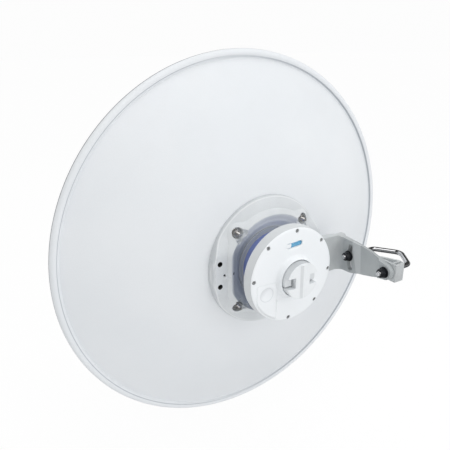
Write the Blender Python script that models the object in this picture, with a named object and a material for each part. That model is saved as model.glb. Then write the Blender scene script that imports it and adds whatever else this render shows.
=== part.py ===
"""Dish antenna seen from behind: a spun reflector with its feed, a round radio hub on a cast
mounting plate, and a side arm that tilts on a U-bolt pole clamp.

Metres, +Z up. +Y is the way the dish looks, and +X is to the right from behind. The origin lies
on the flat land of the pole clamp, where the pole rests. The dish, its plate, its hub and its arm
hang on an empty on the elevation axis, and most of their sizes are given from the middle of the
dish's rim, in the plane of the rim.
"""

import math

import bmesh
import bpy
from mathutils import Matrix, Vector

GAP = 0.0003

# Reflector: a paraboloid with a rolled rim, sizes from the middle of the rim.
RIM_RADIUS = 0.325
RIM_BEAD_RADIUS = 0.0068
BEAD_INNER_RADIUS = 0.3112
DISH_DEPTH = 0.085
FOCAL_LENGTH = 0.284
SHEET = 0.002
DISH_HOLE_RADIUS = 0.050
DISH_SEGMENTS = 72

# Mounting plate behind the reflector.
PLATE_RADIUS = 0.108
PLATE_HALF_WIDTH = 0.1068
PLATE_HALF_HEIGHT = 0.1092
PLATE_BORE_RADIUS = 0.0606
LIP_RADIUS = 0.0815
LIP_Y = -0.0995
CAVITY_RADIUS = 0.0830
CAVITY_HALF_WIDTH = 0.0775
CAVITY_FLOOR_Y = -0.0885
SEAT_PAD_X = (0.086, 0.103)
SEAT_PAD_HALF_HEIGHT = 0.031
SEAT_PAD_Y = -0.0910
SEAT_BOLT_X = 0.0945
SEAT_BOLT_Z = 0.019
SEAT_HOLE_RADIUS = 0.0041
EAR_OFFSET = 0.0625
EAR_RADIUS = 0.0145
EAR_FACE_Y = -0.0820
EAR_TOP_Y = -0.0915
EAR_POCKET_RADIUS = 0.0110
STUD_RADIUS = 0.0031
STUD_HOLE_RADIUS = 0.0034
STUD_Y = (-0.0978, -0.0795)

# Radio hub.
NECK_RADIUS = 0.0530
NECK_BASE_RADIUS = 0.0602
NECK_BASE_Y = -0.0905
NECK_FRONT_Y = -0.0838
PLATE_FRONT_LIMIT_Y = -0.0860
NECK_BORE_RADIUS = 0.0450
HUB_RADIUS = 0.0775
HUB_FRONT_Y = -0.1280
HUB_REAR_Y = -0.1452
COVER_EDGE_RADIUS = 0.0754
COVER_SCREW_CIRCLE = 0.0711
COVER_SCREW_ANGLES = (175.4, 130.4, 85.4, 40.4, -4.6, -49.6, -94.6)
COVER_HOLE_RADIUS = 0.0027
COLLAR_BORE_RADIUS = 0.0293
COLLAR_FOOT_RADIUS = 0.0342
CUTTER_REAR_Y = -0.1700
CUTTER_FRONT_Y = -0.1400
DIMPLE_X = -0.0459
DIMPLE_Z = -0.0227
KNOB_RADIUS = 0.0284
KNOB_FACE_Y = -0.1720
KNOB_NOTCH_X = 0.0130
KNOB_NOTCH_HALF_HEIGHT = 0.0085
KNOB_NOTCH_FLOOR_Y = -0.1645
KNOB_GROOVE_WIDTH = 0.0026
KNOB_GROOVE_FLOOR_Y = -0.1550
KNOB_RIDGE_HALF_WIDTH = 0.0055
KNOB_RIDGE_HALF_LENGTH = 0.0275
KNOB_RIDGE_Y = -0.1736

# Arm between the plate and the clamp.
ARM_PAD_X = 0.1240
ARM_WEB_X = 0.1260
ARM_OUTER_X = 0.1325
FOOT_REAR_Y = -0.1175
FOOT_FRONT_Y = -0.1100
FOOT_INNER_X = 0.0820
FLANGE_INNER_X = 0.0892
FLANGE_HALF_HEIGHT = 0.0242
ARM_BOSS_RADIUS = 0.0125
ARM_BOSS_FACE_Y = -0.1995
ARM_BOLT_HOLE_RADIUS = 0.0042

# Elevation joint: one leg of the U-bolt is the pivot, the other runs in the arm's arc slot.
PIVOT_Y = -0.2140
LEG_SPACING = 0.0745
LEG_RADIUS = 0.0040
LEG_HOLE_RADIUS = 0.0045
SLOT_LOW_DEGREES = -16.3
SLOT_HIGH_DEGREES = 12.4
SLOT_HALF_WIDTH = 0.0045

# Pole clamp.
CLAMP_Y = PIVOT_Y + LEG_SPACING / 2
SEAT_LAND_X = 0.1376
LAND_HALF_WIDTH = 0.0070
HORN_X = 0.1530
HORN_OFFSET = 0.0400
JAW_HALF_LENGTH = 0.0520
JAW_HALF_HEIGHT = 0.0147
U_SHOULDER_X = 0.1790
U_APEX_X = 0.2035
LEG_TIP_X = 0.1110
PLATE_NUT_ACROSS_FLATS = 0.0106
PLATE_NUT_HEIGHT = 0.0056
CLAMP_NUT_ACROSS_FLATS = 0.0130
CLAMP_NUT_HEIGHT = 0.0082
CLAMP_NUT_HOLE_RADIUS = 0.0043
PLATE_WASHER_RADIUS = 0.0070
CLAMP_WASHER_RADIUS = 0.0088
WASHER_HEIGHT = 0.0016

# Feed on the front, at the focus of the dish.
FEED_FLANGE_RADIUS = 0.0560
FEED_TUBE_RADIUS = 0.0170
FEED_CAP_RADIUS = 0.0460
FEED_CAP_Y = (0.1400, 0.2050)

POLE_SEAT = Vector((SEAT_LAND_X, CLAMP_Y, 0.0))

FINISHES = {
    "dish_paint": ((0.86, 0.88, 0.91), 0.35, 0.0),
    "plate_paint": ((0.66, 0.69, 0.69), 0.45, 0.1),
    "hub_side": ((0.74, 0.75, 0.75), 0.4, 0.0),
    "hub_face": ((0.92, 0.94, 0.96), 0.3, 0.0),
    "neck_blue": ((0.11, 0.16, 0.42), 0.35, 0.0),
    "vial_blue": ((0.10, 0.45, 0.75), 0.1, 0.0),
    "arm_cast": ((0.42, 0.45, 0.46), 0.5, 0.6),
    "jaw_cast": ((0.62, 0.64, 0.65), 0.45, 0.6),
    "chrome": ((0.75, 0.76, 0.78), 0.12, 1.0),
    "stainless": ((0.58, 0.56, 0.54), 0.25, 1.0),
    "black_steel": ((0.02, 0.023, 0.03), 0.4, 0.7),
    "feed_white": ((0.85, 0.86, 0.87), 0.4, 0.0),
}


def clear_scene():
    for obj in list(bpy.data.objects):
        bpy.data.objects.remove(obj)


def make_material(name):
    colour, roughness, metallic = FINISHES[name]
    material = bpy.data.materials.get(name) or bpy.data.materials.new(name)
    material.use_nodes = True
    shader = material.node_tree.nodes["Principled BSDF"]
    shader.inputs["Base Color"].default_value = (*colour, 1.0)
    shader.inputs["Roughness"].default_value = roughness
    shader.inputs["Metallic"].default_value = metallic
    return material


def make_empty(name, place, parent=None):
    empty = bpy.data.objects.new(name, None)
    empty.location = place
    empty.parent = parent
    bpy.context.collection.objects.link(empty)
    return empty


def finish(name, shape, finish_name, parent=None, smooth=True, sharp_degrees=30):
    """One closed object from a bmesh, its faces turned outwards."""
    bmesh.ops.recalc_face_normals(shape, faces=shape.faces)
    mesh = bpy.data.meshes.new(name)
    shape.to_mesh(mesh)
    shape.free()
    if smooth:
        mesh.shade_smooth()
        mesh.set_sharp_from_angle(angle=math.radians(sharp_degrees))
    obj = bpy.data.objects.new(name, mesh)
    obj.data.materials.append(make_material(finish_name))
    obj.parent = parent
    bpy.context.collection.objects.link(obj)
    return obj


def turned(profile, segments, axis="Y", centre=(0.0, 0.0, 0.0)):
    """A closed ring or disc: points (radius, place along the axis) turned about the axis.

    A profile whose first and last points lie on the axis makes a solid disc, any other a ring.
    """
    shape = bmesh.new()
    solid = profile[0][0] == 0.0
    rings = []
    for radius, along in profile:
        if radius == 0.0:
            rings.append([shape.verts.new((0.0, 0.0, along))])
            continue
        ring = []
        for step in range(segments):
            turn = 2 * math.pi * step / segments
            ring.append(shape.verts.new((radius * math.cos(turn), radius * math.sin(turn), along)))
        rings.append(ring)
    pairs = list(zip(rings, rings[1:]))
    if not solid:
        pairs.append((rings[-1], rings[0]))
    for first, second in pairs:
        for step in range(segments):
            after = (step + 1) % segments
            corners = []
            for ring, index in ((first, step), (first, after), (second, after), (second, step)):
                corner = ring[0] if len(ring) == 1 else ring[index]
                if corner not in corners:
                    corners.append(corner)
            shape.faces.new(corners)
    turns = {
        "X": Matrix.Rotation(math.pi / 2, 4, "Y"),
        "Y": Matrix.Rotation(-math.pi / 2, 4, "X"),
        "Z": Matrix.Identity(4),
    }
    bmesh.ops.transform(shape, matrix=Matrix.Translation(centre) @ turns[axis], verts=shape.verts)
    return shape


def rod(radius, low, high, segments, axis="Y", centre=(0.0, 0.0, 0.0)):
    """A plain cylinder from low to high along the axis."""
    return turned([(0.0, low), (radius, low), (radius, high), (0.0, high)], segments, axis, centre)


def ring(inner, outer, low, high, segments, axis="Y", centre=(0.0, 0.0, 0.0)):
    """A plain tube from low to high along the axis."""
    profile = [(inner, low), (outer, low), (outer, high), (inner, high)]
    return turned(profile, segments, axis, centre)


def extruded(outline, low, high, axis="Z"):
    """A prism: the outline's points carried from low to high.

    The outline is (x, y) for axis Z, (y, z) for axis X and (x, z) for axis Y.
    """
    places = {
        "Z": lambda u, v, w: (u, v, w),
        "X": lambda u, v, w: (w, u, v),
        "Y": lambda u, v, w: (u, w, v),
    }
    place = places[axis]
    shape = bmesh.new()
    bottom = [shape.verts.new(place(u, v, low)) for u, v in outline]
    top = [shape.verts.new(place(u, v, high)) for u, v in outline]
    shape.faces.new(bottom)
    shape.faces.new(top)
    for index in range(len(outline)):
        after = (index + 1) % len(outline)
        shape.faces.new((bottom[index], bottom[after], top[after], top[index]))
    return shape


def box(low, high):
    outline = [(low[0], low[1]), (high[0], low[1]), (high[0], high[1]), (low[0], high[1])]
    return extruded(outline, low[2], high[2], "Z")


def arc(centre, radius, start_degrees, end_degrees, steps):
    """Points on an arc, its two ends included."""
    points = []
    for step in range(steps + 1):
        turn = math.radians(start_degrees + (end_degrees - start_degrees) * step / steps)
        points.append((centre[0] + radius * math.cos(turn), centre[1] + radius * math.sin(turn)))
    return points


def mirrored(points):
    """The same points on the other side of the first axis, in reverse."""
    return [(u, -v) for u, v in reversed(points)]


def helper(name, shape, parent):
    """A cutter or an added body: an object that stays out of the model."""
    obj = finish(name, shape, "arm_cast", parent)
    obj.hide_render = True
    obj.display_type = "WIRE"
    return obj


def combine(target, operation, name, shape):
    """Joins or cuts the target with a shape given in the target's own frame."""
    other = helper(f"{target.name}_{name}", shape, target.parent)
    modifier = target.modifiers.new(name, "BOOLEAN")
    modifier.operation = operation
    modifier.solver = "EXACT"
    modifier.object = other


def dish_rear_y(radius):
    return -DISH_DEPTH + radius * radius / (4 * FOCAL_LENGTH)


def make_reflector(parent):
    """The spun sheet: its rear follows the paraboloid, and its rim ends in a rolled bead."""
    steps = 8
    rear = []
    for step in range(steps + 1):
        radius = DISH_HOLE_RADIUS + (BEAD_INNER_RADIUS - DISH_HOLE_RADIUS) * step / steps
        rear.append((radius, dish_rear_y(radius)))
    bead_centre = (RIM_RADIUS - RIM_BEAD_RADIUS, rear[-1][1] + 0.0028)
    bead = arc(bead_centre, RIM_BEAD_RADIUS, -150, 150, 10)
    front = [(radius, along + SHEET) for radius, along in reversed(rear)]
    profile = rear + bead + [(front[0][0], front[0][1] + 0.0022)] + front[1:]
    finish("reflector", turned(profile, DISH_SEGMENTS), "dish_paint", parent)


def plate_radius(radius, turn):
    """Where a point of the turned plate goes: bore round, cavity flat on two sides, rim oval."""
    lip = min(CAVITY_RADIUS, CAVITY_HALF_WIDTH / max(abs(math.cos(turn)), 0.1))
    rim = 1 / math.hypot(math.cos(turn) / PLATE_HALF_WIDTH, math.sin(turn) / PLATE_HALF_HEIGHT)
    if radius < LIP_RADIUS:
        share = (radius - PLATE_BORE_RADIUS) / (LIP_RADIUS - PLATE_BORE_RADIUS)
        return PLATE_BORE_RADIUS + share * (lip - PLATE_BORE_RADIUS)
    share = (radius - LIP_RADIUS) / (PLATE_RADIUS - LIP_RADIUS)
    return lip + share * (rim - lip)


def make_mounting_plate(parent):
    """The cast plate: a thin edge on the dish, two seat pads, and a lip round the cavity."""
    seat = [(radius, dish_rear_y(radius) - GAP) for radius in (PLATE_BORE_RADIUS, 0.085, PLATE_RADIUS)]
    edge_y = seat[-1][1]
    profile = seat + [
        (PLATE_RADIUS, edge_y - 0.0038),
        (PLATE_RADIUS - 0.0012, edge_y - 0.0052),
        (PLATE_RADIUS - 0.0040, -0.0818),
        (PLATE_RADIUS - 0.0110, -0.0868),
        (PLATE_RADIUS - 0.0170, -0.0892),
        (LIP_RADIUS + 0.0085, -0.0906),
        (LIP_RADIUS + 0.0046, -0.0948),
        (LIP_RADIUS + 0.0018, -0.0985),
        (LIP_RADIUS, LIP_Y),
        (LIP_RADIUS - 0.0020, -0.0990),
        (LIP_RADIUS - 0.0050, -0.0945),
        (LIP_RADIUS - 0.0110, -0.0905),
        (LIP_RADIUS - 0.0160, CAVITY_FLOOR_Y),
        (PLATE_BORE_RADIUS, CAVITY_FLOOR_Y),
    ]
    shape = turned(profile, 68)
    for vert in shape.verts:
        radius = math.hypot(vert.co.x, vert.co.z)
        scale = plate_radius(radius, math.atan2(vert.co.z, vert.co.x)) / radius
        vert.co.x *= scale
        vert.co.z *= scale
        if vert.co.y > edge_y - 0.0030 or (radius < 0.0860 and vert.co.y > PLATE_FRONT_LIMIT_Y):
            vert.co.y = dish_rear_y(radius * scale) - 1.4 * GAP
    plate = finish("mounting_plate", shape, "plate_paint", parent)
    for side, sign in (("left", -1), ("right", 1)):
        near = sign * SEAT_PAD_X[0]
        far = sign * SEAT_PAD_X[1]
        low = (min(near, far), SEAT_PAD_Y, -SEAT_PAD_HALF_HEIGHT)
        high = (max(near, far), -0.0790, SEAT_PAD_HALF_HEIGHT)
        combine(plate, "UNION", f"pad_{side}", box(low, high))
    for index, (x, z) in enumerate(ear_places()):
        ear = rod(EAR_RADIUS, EAR_TOP_Y, -0.0812, 24, "Y", (x, 0.0, z))
        combine(plate, "UNION", f"ear_{index}", ear)
        pocket = rod(EAR_POCKET_RADIUS, -0.1200, EAR_FACE_Y, 24, "Y", (x, 0.0, z))
        combine(plate, "DIFFERENCE", f"ear_pocket_{index}", pocket)
        bore = rod(STUD_HOLE_RADIUS, -0.1100, -0.0700, 12, "Y", (x, 0.0, z))
        combine(plate, "DIFFERENCE", f"ear_bore_{index}", bore)
    for side, sign in (("left", -1), ("right", 1)):
        for level, z in (("upper", SEAT_BOLT_Z), ("lower", -SEAT_BOLT_Z)):
            hole = rod(SEAT_HOLE_RADIUS, -0.1000, -0.0700, 12, "Y", (sign * SEAT_BOLT_X, 0.0, z))
            combine(plate, "DIFFERENCE", f"hole_{side}_{level}", hole)


def ear_places():
    return [(x, z) for z in (EAR_OFFSET, -EAR_OFFSET) for x in (-EAR_OFFSET, EAR_OFFSET)]


def hexagon(across_flats, turn_degrees=0.0):
    corner = across_flats / math.sqrt(3)
    return arc((0.0, 0.0), corner, turn_degrees, turn_degrees + 300, 5)


def make_nut(name, seat, across_flats, height, hole_radius, axis, finish_name, parent):
    """A hexagon nut with its bore, standing on the seat point and reaching back along the axis."""
    shape = extruded(hexagon(across_flats), -height, 0.0, axis)
    bmesh.ops.translate(shape, vec=seat, verts=shape.verts)
    nut = finish(name, shape, finish_name, parent, smooth=False)
    reach = 2 * height
    combine(nut, "DIFFERENCE", "bore", rod(hole_radius, -reach, reach, 12, axis, seat))


def make_plate_fasteners(parent):
    """A stud with its washer and nut on each ear."""
    face = EAR_FACE_Y
    for index, (x, z) in enumerate(ear_places(), start=1):
        centre = (x, 0.0, z)
        washer = ring(STUD_HOLE_RADIUS, PLATE_WASHER_RADIUS, face - GAP - WASHER_HEIGHT, face - GAP, 16, "Y", centre)
        finish(f"plate_washer_{index}", washer, "stainless", parent)
        nut_seat = Vector((x, face - 2 * GAP - WASHER_HEIGHT, z))
        size = (PLATE_NUT_ACROSS_FLATS, PLATE_NUT_HEIGHT, STUD_HOLE_RADIUS)
        make_nut(f"plate_nut_{index}", nut_seat, *size, "Y", "stainless", parent)
        stud = rod(STUD_RADIUS, STUD_Y[0], STUD_Y[1], 12, "Y", centre)
        finish(f"plate_stud_{index}", stud, "stainless", parent)


def make_hub(parent):
    """Blue neck, drum, domed rear cover with its screws, level vial, port door and knob."""
    neck_profile = [
        (NECK_BORE_RADIUS, HUB_FRONT_Y + GAP),
        (NECK_RADIUS, HUB_FRONT_Y + GAP),
        (NECK_RADIUS, NECK_BASE_Y),
        (NECK_BASE_RADIUS, NECK_BASE_Y),
        (NECK_BASE_RADIUS, NECK_FRONT_Y),
        (NECK_BORE_RADIUS, NECK_FRONT_Y),
    ]
    finish("hub_neck", turned(neck_profile, 48), "neck_blue", parent)
    drum_profile = [
        (0.0, HUB_FRONT_Y),
        (HUB_RADIUS - 0.003, HUB_FRONT_Y),
        (HUB_RADIUS - 0.0008, HUB_FRONT_Y - 0.001),
        (HUB_RADIUS, HUB_FRONT_Y - 0.003),
        (COVER_EDGE_RADIUS + 0.0004, HUB_REAR_Y),
        (0.0, HUB_REAR_Y),
    ]
    finish("hub_housing", turned(drum_profile, 64), "hub_side", parent)

    cover = finish("hub_cover", turned(cover_profile(0.0), 64), "hub_face", parent)
    for index, degrees in enumerate(COVER_SCREW_ANGLES, start=1):
        turn = math.radians(degrees)
        place = (COVER_SCREW_CIRCLE * math.cos(turn), 0.0, COVER_SCREW_CIRCLE * math.sin(turn))
        hole = rod(COVER_HOLE_RADIUS, -0.1600, -0.1400, 12, "Y", place)
        combine(cover, "DIFFERENCE", f"screw_hole_{index}", hole)
        screw = rod(COVER_HOLE_RADIUS - GAP, -0.1466, HUB_REAR_Y - GAP, 12, "Y", place)
        finish(f"cover_screw_{index}", screw, "stainless", parent)
    combine(cover, "DIFFERENCE", "vial_slot", extruded(vial_outline(GAP), CUTTER_REAR_Y, CUTTER_FRONT_Y, "Y"))
    combine(cover, "DIFFERENCE", "door_opening", extruded(door_outline(GAP), CUTTER_REAR_Y, CUTTER_FRONT_Y, "Y"))

    vial = extruded(vial_outline(0.0), -0.1500, HUB_REAR_Y - GAP, "Y")
    finish("level_vial", vial, "vial_blue", parent)
    door = finish("port_door", turned(cover_profile(0.0006), 64), "hub_face", parent)
    combine(door, "INTERSECT", "outline", extruded(door_outline(0.0), CUTTER_REAR_Y, CUTTER_FRONT_Y, "Y"))
    dimple_profile = [(0.0, -0.1560), (0.0124, -0.1560), (0.0118, -0.1502), (0.0070, -0.1488), (0.0, -0.1485)]
    dimple = turned(dimple_profile, 24, "Y", (DIMPLE_X, 0.0, DIMPLE_Z))
    combine(door, "DIFFERENCE", "thumb_dimple", dimple)
    make_latch_knob(parent)


def make_latch_knob(parent):
    """The round knob: a low ridge across its face and a notch with an L-shaped groove on each side."""
    shape = rod(KNOB_RADIUS, KNOB_FACE_Y, HUB_REAR_Y - GAP, 48)
    knob = finish("latch_knob", shape, "hub_face", parent)
    reach = 2 * KNOB_RADIUS
    half = KNOB_NOTCH_HALF_HEIGHT
    step = KNOB_GROOVE_WIDTH
    for side, sign in (("left", -1), ("right", 1)):
        near = sign * KNOB_NOTCH_X
        inner = sign * (KNOB_NOTCH_X + step)
        far = sign * reach
        notch = [(near, -half), (far, -half), (far, half), (near, half)]
        cutter = extruded(notch, CUTTER_REAR_Y - 0.0200, KNOB_NOTCH_FLOOR_Y, "Y")
        combine(knob, "DIFFERENCE", f"notch_{side}", cutter)
        groove = [(near, -half), (far, -half), (far, step - half), (inner, step - half), (inner, half), (near, half)]
        cutter = extruded(groove, CUTTER_REAR_Y - 0.0200, KNOB_GROOVE_FLOOR_Y, "Y")
        combine(knob, "DIFFERENCE", f"groove_{side}", cutter)
    wide = KNOB_RIDGE_HALF_WIDTH
    narrow = wide - 0.0014
    foot_y = KNOB_FACE_Y + 0.0010
    ridge = [(-wide, foot_y), (-wide, KNOB_FACE_Y - 0.0002), (-narrow, KNOB_RIDGE_Y)]
    ridge += [(-x, y) for x, y in reversed(ridge)]
    cutter = extruded(ridge, -KNOB_RIDGE_HALF_LENGTH, KNOB_RIDGE_HALF_LENGTH)
    combine(knob, "UNION", "ridge", cutter)


def cover_profile(raised):
    """The cover's turned section: flat towards the drum, domed behind, with a collar."""
    return [
        (COLLAR_BORE_RADIUS, HUB_REAR_Y - GAP),
        (COVER_EDGE_RADIUS + 0.0004, HUB_REAR_Y - GAP),
        (COVER_EDGE_RADIUS, -0.1459 - raised),
        (COVER_EDGE_RADIUS - 0.0015, -0.1467 - raised),
        (0.0670, -0.1478 - raised),
        (0.0540, -0.1493 - raised),
        (0.0400, -0.1502 - raised),
        (COLLAR_FOOT_RADIUS, -0.1508 - raised),
        (0.0324, -0.1528 - raised),
        (0.0314, -0.1565 - raised),
        (0.0307, -0.1594 - raised),
        (0.0300, -0.1600 - raised),
        (COLLAR_BORE_RADIUS, -0.1592 - raised),
    ]


def vial_outline(margin):
    """A level capsule in (x, z): two round ends joined by straight sides."""
    radius = 0.0036 + margin
    left = arc((-0.0116, 0.0502), radius, 90, 270, 6)
    right = arc((0.0108, 0.0516), radius, -90, 90, 6)
    return left + right


def door_outline(margin):
    """The port door in (x, z): straight top and inner side, and rims that follow cover and collar."""
    reach = 0.0728 + margin
    foot = COLLAR_FOOT_RADIUS + 0.0004 - margin
    left = -0.0655 - margin
    right = -0.0315 + margin
    top = -0.0020 + margin
    start = math.degrees(math.atan2(-math.sqrt(reach**2 - left**2), left))
    end = math.degrees(math.atan2(-math.sqrt(reach**2 - right**2), right))
    collar_low = math.degrees(math.atan2(-math.sqrt(foot**2 - right**2), right)) % 360
    collar_high = math.degrees(math.atan2(top, -math.sqrt(foot**2 - top**2))) % 360
    collar = arc((0.0, 0.0), foot, collar_low, collar_high, 3)
    return collar + [(left, top)] + arc((0.0, 0.0), reach, start, end, 8)


def arm_plan():
    """The arm from above, (x, y): foot, fillet, slot pad, web and pivot boss."""
    fillet = arc((0.1140, -0.1275), 0.0100, 90, 0, 5)
    return [
        (FLANGE_INNER_X, SEAT_PAD_Y - GAP),
        (FLANGE_INNER_X, -0.0985),
        (0.1040, -0.0985),
        (0.1075, -0.1020),
        (0.1075, -0.1065),
        (0.1040, FOOT_FRONT_Y),
        (FOOT_INNER_X, FOOT_FRONT_Y),
        (FOOT_INNER_X, FOOT_REAR_Y),
        *fillet,
        (ARM_PAD_X, -0.1475),
        (ARM_WEB_X, -0.1575),
        (ARM_WEB_X, ARM_BOSS_FACE_Y),
        (ARM_PAD_X, ARM_BOSS_FACE_Y - 0.0020),
        (ARM_PAD_X, PIVOT_Y - 0.0200),
        (ARM_OUTER_X, PIVOT_Y - 0.0200),
        (ARM_OUTER_X, -0.1050),
        (0.1290, -0.0960),
        (0.1180, SEAT_PAD_Y - GAP),
    ]


def arm_side():
    """The arm from the side, (y, z): flange, deep foot, and a taper to the round pivot boss."""
    upper = [
        (-0.0800, FLANGE_HALF_HEIGHT),
        (-0.1095, FLANGE_HALF_HEIGHT),
        (-0.1097, 0.0310),
        (-0.1180, 0.0308),
        (-0.1215, 0.0280),
        (-0.1345, 0.0270),
        (-0.1454, 0.0264),
        (-0.1560, 0.0252),
        (-0.1667, 0.0240),
        (-0.1788, 0.0226),
        (-0.1870, 0.0206),
        (-0.1958, 0.0180),
        (-0.2020, 0.0156),
        (-0.2085, 0.0139),
    ]
    lower = [
        (-0.2080, -0.0136),
        (-0.1980, -0.0162),
        (-0.1880, -0.0193),
        (-0.1710, -0.0235),
        (-0.1580, -0.0263),
        (-0.1476, -0.0286),
        (-0.1400, -0.0298),
        (-0.1250, -0.0305),
        (-0.1180, -0.0315),
        (-0.1097, -0.0315),
        (-0.1095, -FLANGE_HALF_HEIGHT),
        (-0.0800, -FLANGE_HALF_HEIGHT),
    ]
    return upper + arc((PIVOT_Y, 0.0), ARM_BOSS_RADIUS, 96, 264, 12) + lower


def slot_outline():
    """The arc slot in (y, z), round the pivot: two concentric arcs and two round ends."""
    low = SLOT_LOW_DEGREES
    high = SLOT_HIGH_DEGREES
    pivot = (PIVOT_Y, 0.0)
    low_end, high_end = arc(pivot, LEG_SPACING, low, high, 1)
    upper_end = arc(high_end, SLOT_HALF_WIDTH, high, high + 180, 6)
    lower_end = arc(low_end, SLOT_HALF_WIDTH, low + 180, low + 360, 6)
    outer_side = arc(pivot, LEG_SPACING + SLOT_HALF_WIDTH, low, high, 9)[1:-1]
    inner_side = arc(pivot, LEG_SPACING - SLOT_HALF_WIDTH, high, low, 9)[1:-1]
    return outer_side + upper_end + inner_side + lower_end


def make_arm(parent):
    arm = finish("arm", extruded(arm_plan(), -0.0400, 0.0400, "Z"), "arm_cast", parent)
    combine(arm, "INTERSECT", "side", extruded(arm_side(), 0.0600, 0.1600, "X"))
    combine(arm, "DIFFERENCE", "slot", extruded(slot_outline(), 0.1100, 0.1500, "X"))
    pivot_bore = rod(LEG_HOLE_RADIUS, 0.1100, 0.1500, 16, "X", (0.0, PIVOT_Y, 0.0))
    combine(arm, "DIFFERENCE", "pivot_bore", pivot_bore)
    for level, z in (("upper", SEAT_BOLT_Z), ("lower", -SEAT_BOLT_Z)):
        hole = rod(ARM_BOLT_HOLE_RADIUS, -0.1050, -0.0850, 12, "Y", (SEAT_BOLT_X, 0.0, z))
        combine(arm, "DIFFERENCE", f"bolt_hole_{level}", hole)
        bolt = turned(
            [(0.0, -0.1045), (0.0065, -0.1045), (0.0065, -0.0988), (0.0038, -0.0988), (0.0038, -0.0790), (0.0, -0.0790)],
            12,
            "Y",
            (SEAT_BOLT_X, 0.0, z),
        )
        finish(f"arm_bolt_{level}", bolt, "black_steel", parent)


def make_clamp_jaw(parent):
    """The cast jaw: a shallow V for the pole, bored for the U-bolt, with cored pockets."""
    back = ARM_OUTER_X + GAP
    side = [
        (back, -JAW_HALF_LENGTH),
        (HORN_X - 0.002, -JAW_HALF_LENGTH),
        (HORN_X, -JAW_HALF_LENGTH + 0.008),
        (HORN_X, -HORN_OFFSET),
        (SEAT_LAND_X, -LAND_HALF_WIDTH),
    ]
    outline = [(x - POLE_SEAT.x, offset) for x, offset in side + mirrored(side)]
    jaw = finish("clamp_jaw", extruded(outline, -JAW_HALF_HEIGHT, JAW_HALF_HEIGHT), "jaw_cast", parent)
    for name, offset in leg_offsets():
        bore = rod(LEG_HOLE_RADIUS, -0.0300, 0.0500, 16, "X", (0.0, offset, 0.0))
        combine(jaw, "DIFFERENCE", f"bore_{name}", bore)
        sign = math.copysign(1.0, offset)
        inner = [(0.1362, 0.0170), (0.1362, 0.0405), (0.1495, 0.0405)]
        outer = [(0.1362, 0.0440), (0.1362, 0.0480), (0.1495, 0.0480), (0.1495, 0.0440)]
        for kind, corners in (("inner", inner), ("outer", outer)):
            pocket = [(x - POLE_SEAT.x, sign * along) for x, along in corners]
            for level, low, high in (("top", 0.0070, 0.0300), ("bottom", -0.0300, -0.0070)):
                cutter = extruded(pocket, low, high)
                combine(jaw, "DIFFERENCE", f"{kind}_{name}_{level}", cutter)


def leg_offsets():
    return (("pivot", -LEG_SPACING / 2), ("slot", LEG_SPACING / 2))


def rounded(corners, radii, steps):
    """The corners with each inner one replaced by an arc of its radius."""
    points = [corners[0]]
    for before, corner, after, radius in zip(corners, corners[1:], corners[2:], radii):
        into = (corner - before).normalized()
        out = (after - corner).normalized()
        bend = into.angle(out)
        setback = radius * math.tan(bend / 2)
        start = corner - into * setback
        across = (out - into * into.dot(out)).normalized()
        middle = start + across * radius
        for step in range(steps + 1):
            turn = bend * step / steps
            points.append(middle - across * radius * math.cos(turn) + into * radius * math.sin(turn))
    points.append(corners[-1])
    return points


def make_u_bolt(parent):
    half = LEG_SPACING / 2
    corners = [
        Vector((LEG_TIP_X, -half, 0.0)),
        Vector((U_SHOULDER_X, -half, 0.0)),
        Vector((U_APEX_X + 0.002, 0.0, 0.0)),
        Vector((U_SHOULDER_X, half, 0.0)),
        Vector((LEG_TIP_X, half, 0.0)),
    ]
    path = rounded(corners, (0.010, 0.014, 0.010), 5)
    curve = bpy.data.curves.new("u_bolt", "CURVE")
    curve.dimensions = "3D"
    curve.bevel_depth = LEG_RADIUS
    curve.bevel_resolution = 2
    curve.use_fill_caps = True
    spline = curve.splines.new("POLY")
    spline.points.add(len(path) - 1)
    for point, place in zip(spline.points, path):
        point.co = (place.x - POLE_SEAT.x, place.y, place.z, 1.0)
    curve.materials.append(make_material("chrome"))
    obj = bpy.data.objects.new("u_bolt", curve)
    obj.parent = parent
    bpy.context.collection.objects.link(obj)


def make_clamp_fasteners(parent):
    """A washer and a black nut on each leg, against the arm's inner face."""
    face = ARM_PAD_X - POLE_SEAT.x
    for name, offset in leg_offsets():
        low = face - GAP - WASHER_HEIGHT
        washer = ring(CLAMP_NUT_HOLE_RADIUS, CLAMP_WASHER_RADIUS, low, face - GAP, 16, "X", (0.0, offset, 0.0))
        finish(f"{name}_washer", washer, "black_steel", parent)
        size = (CLAMP_NUT_ACROSS_FLATS, CLAMP_NUT_HEIGHT, CLAMP_NUT_HOLE_RADIUS)
        make_nut(f"{name}_nut", Vector((low - GAP, offset, 0.0)), *size, "X", "black_steel", parent)


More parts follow.
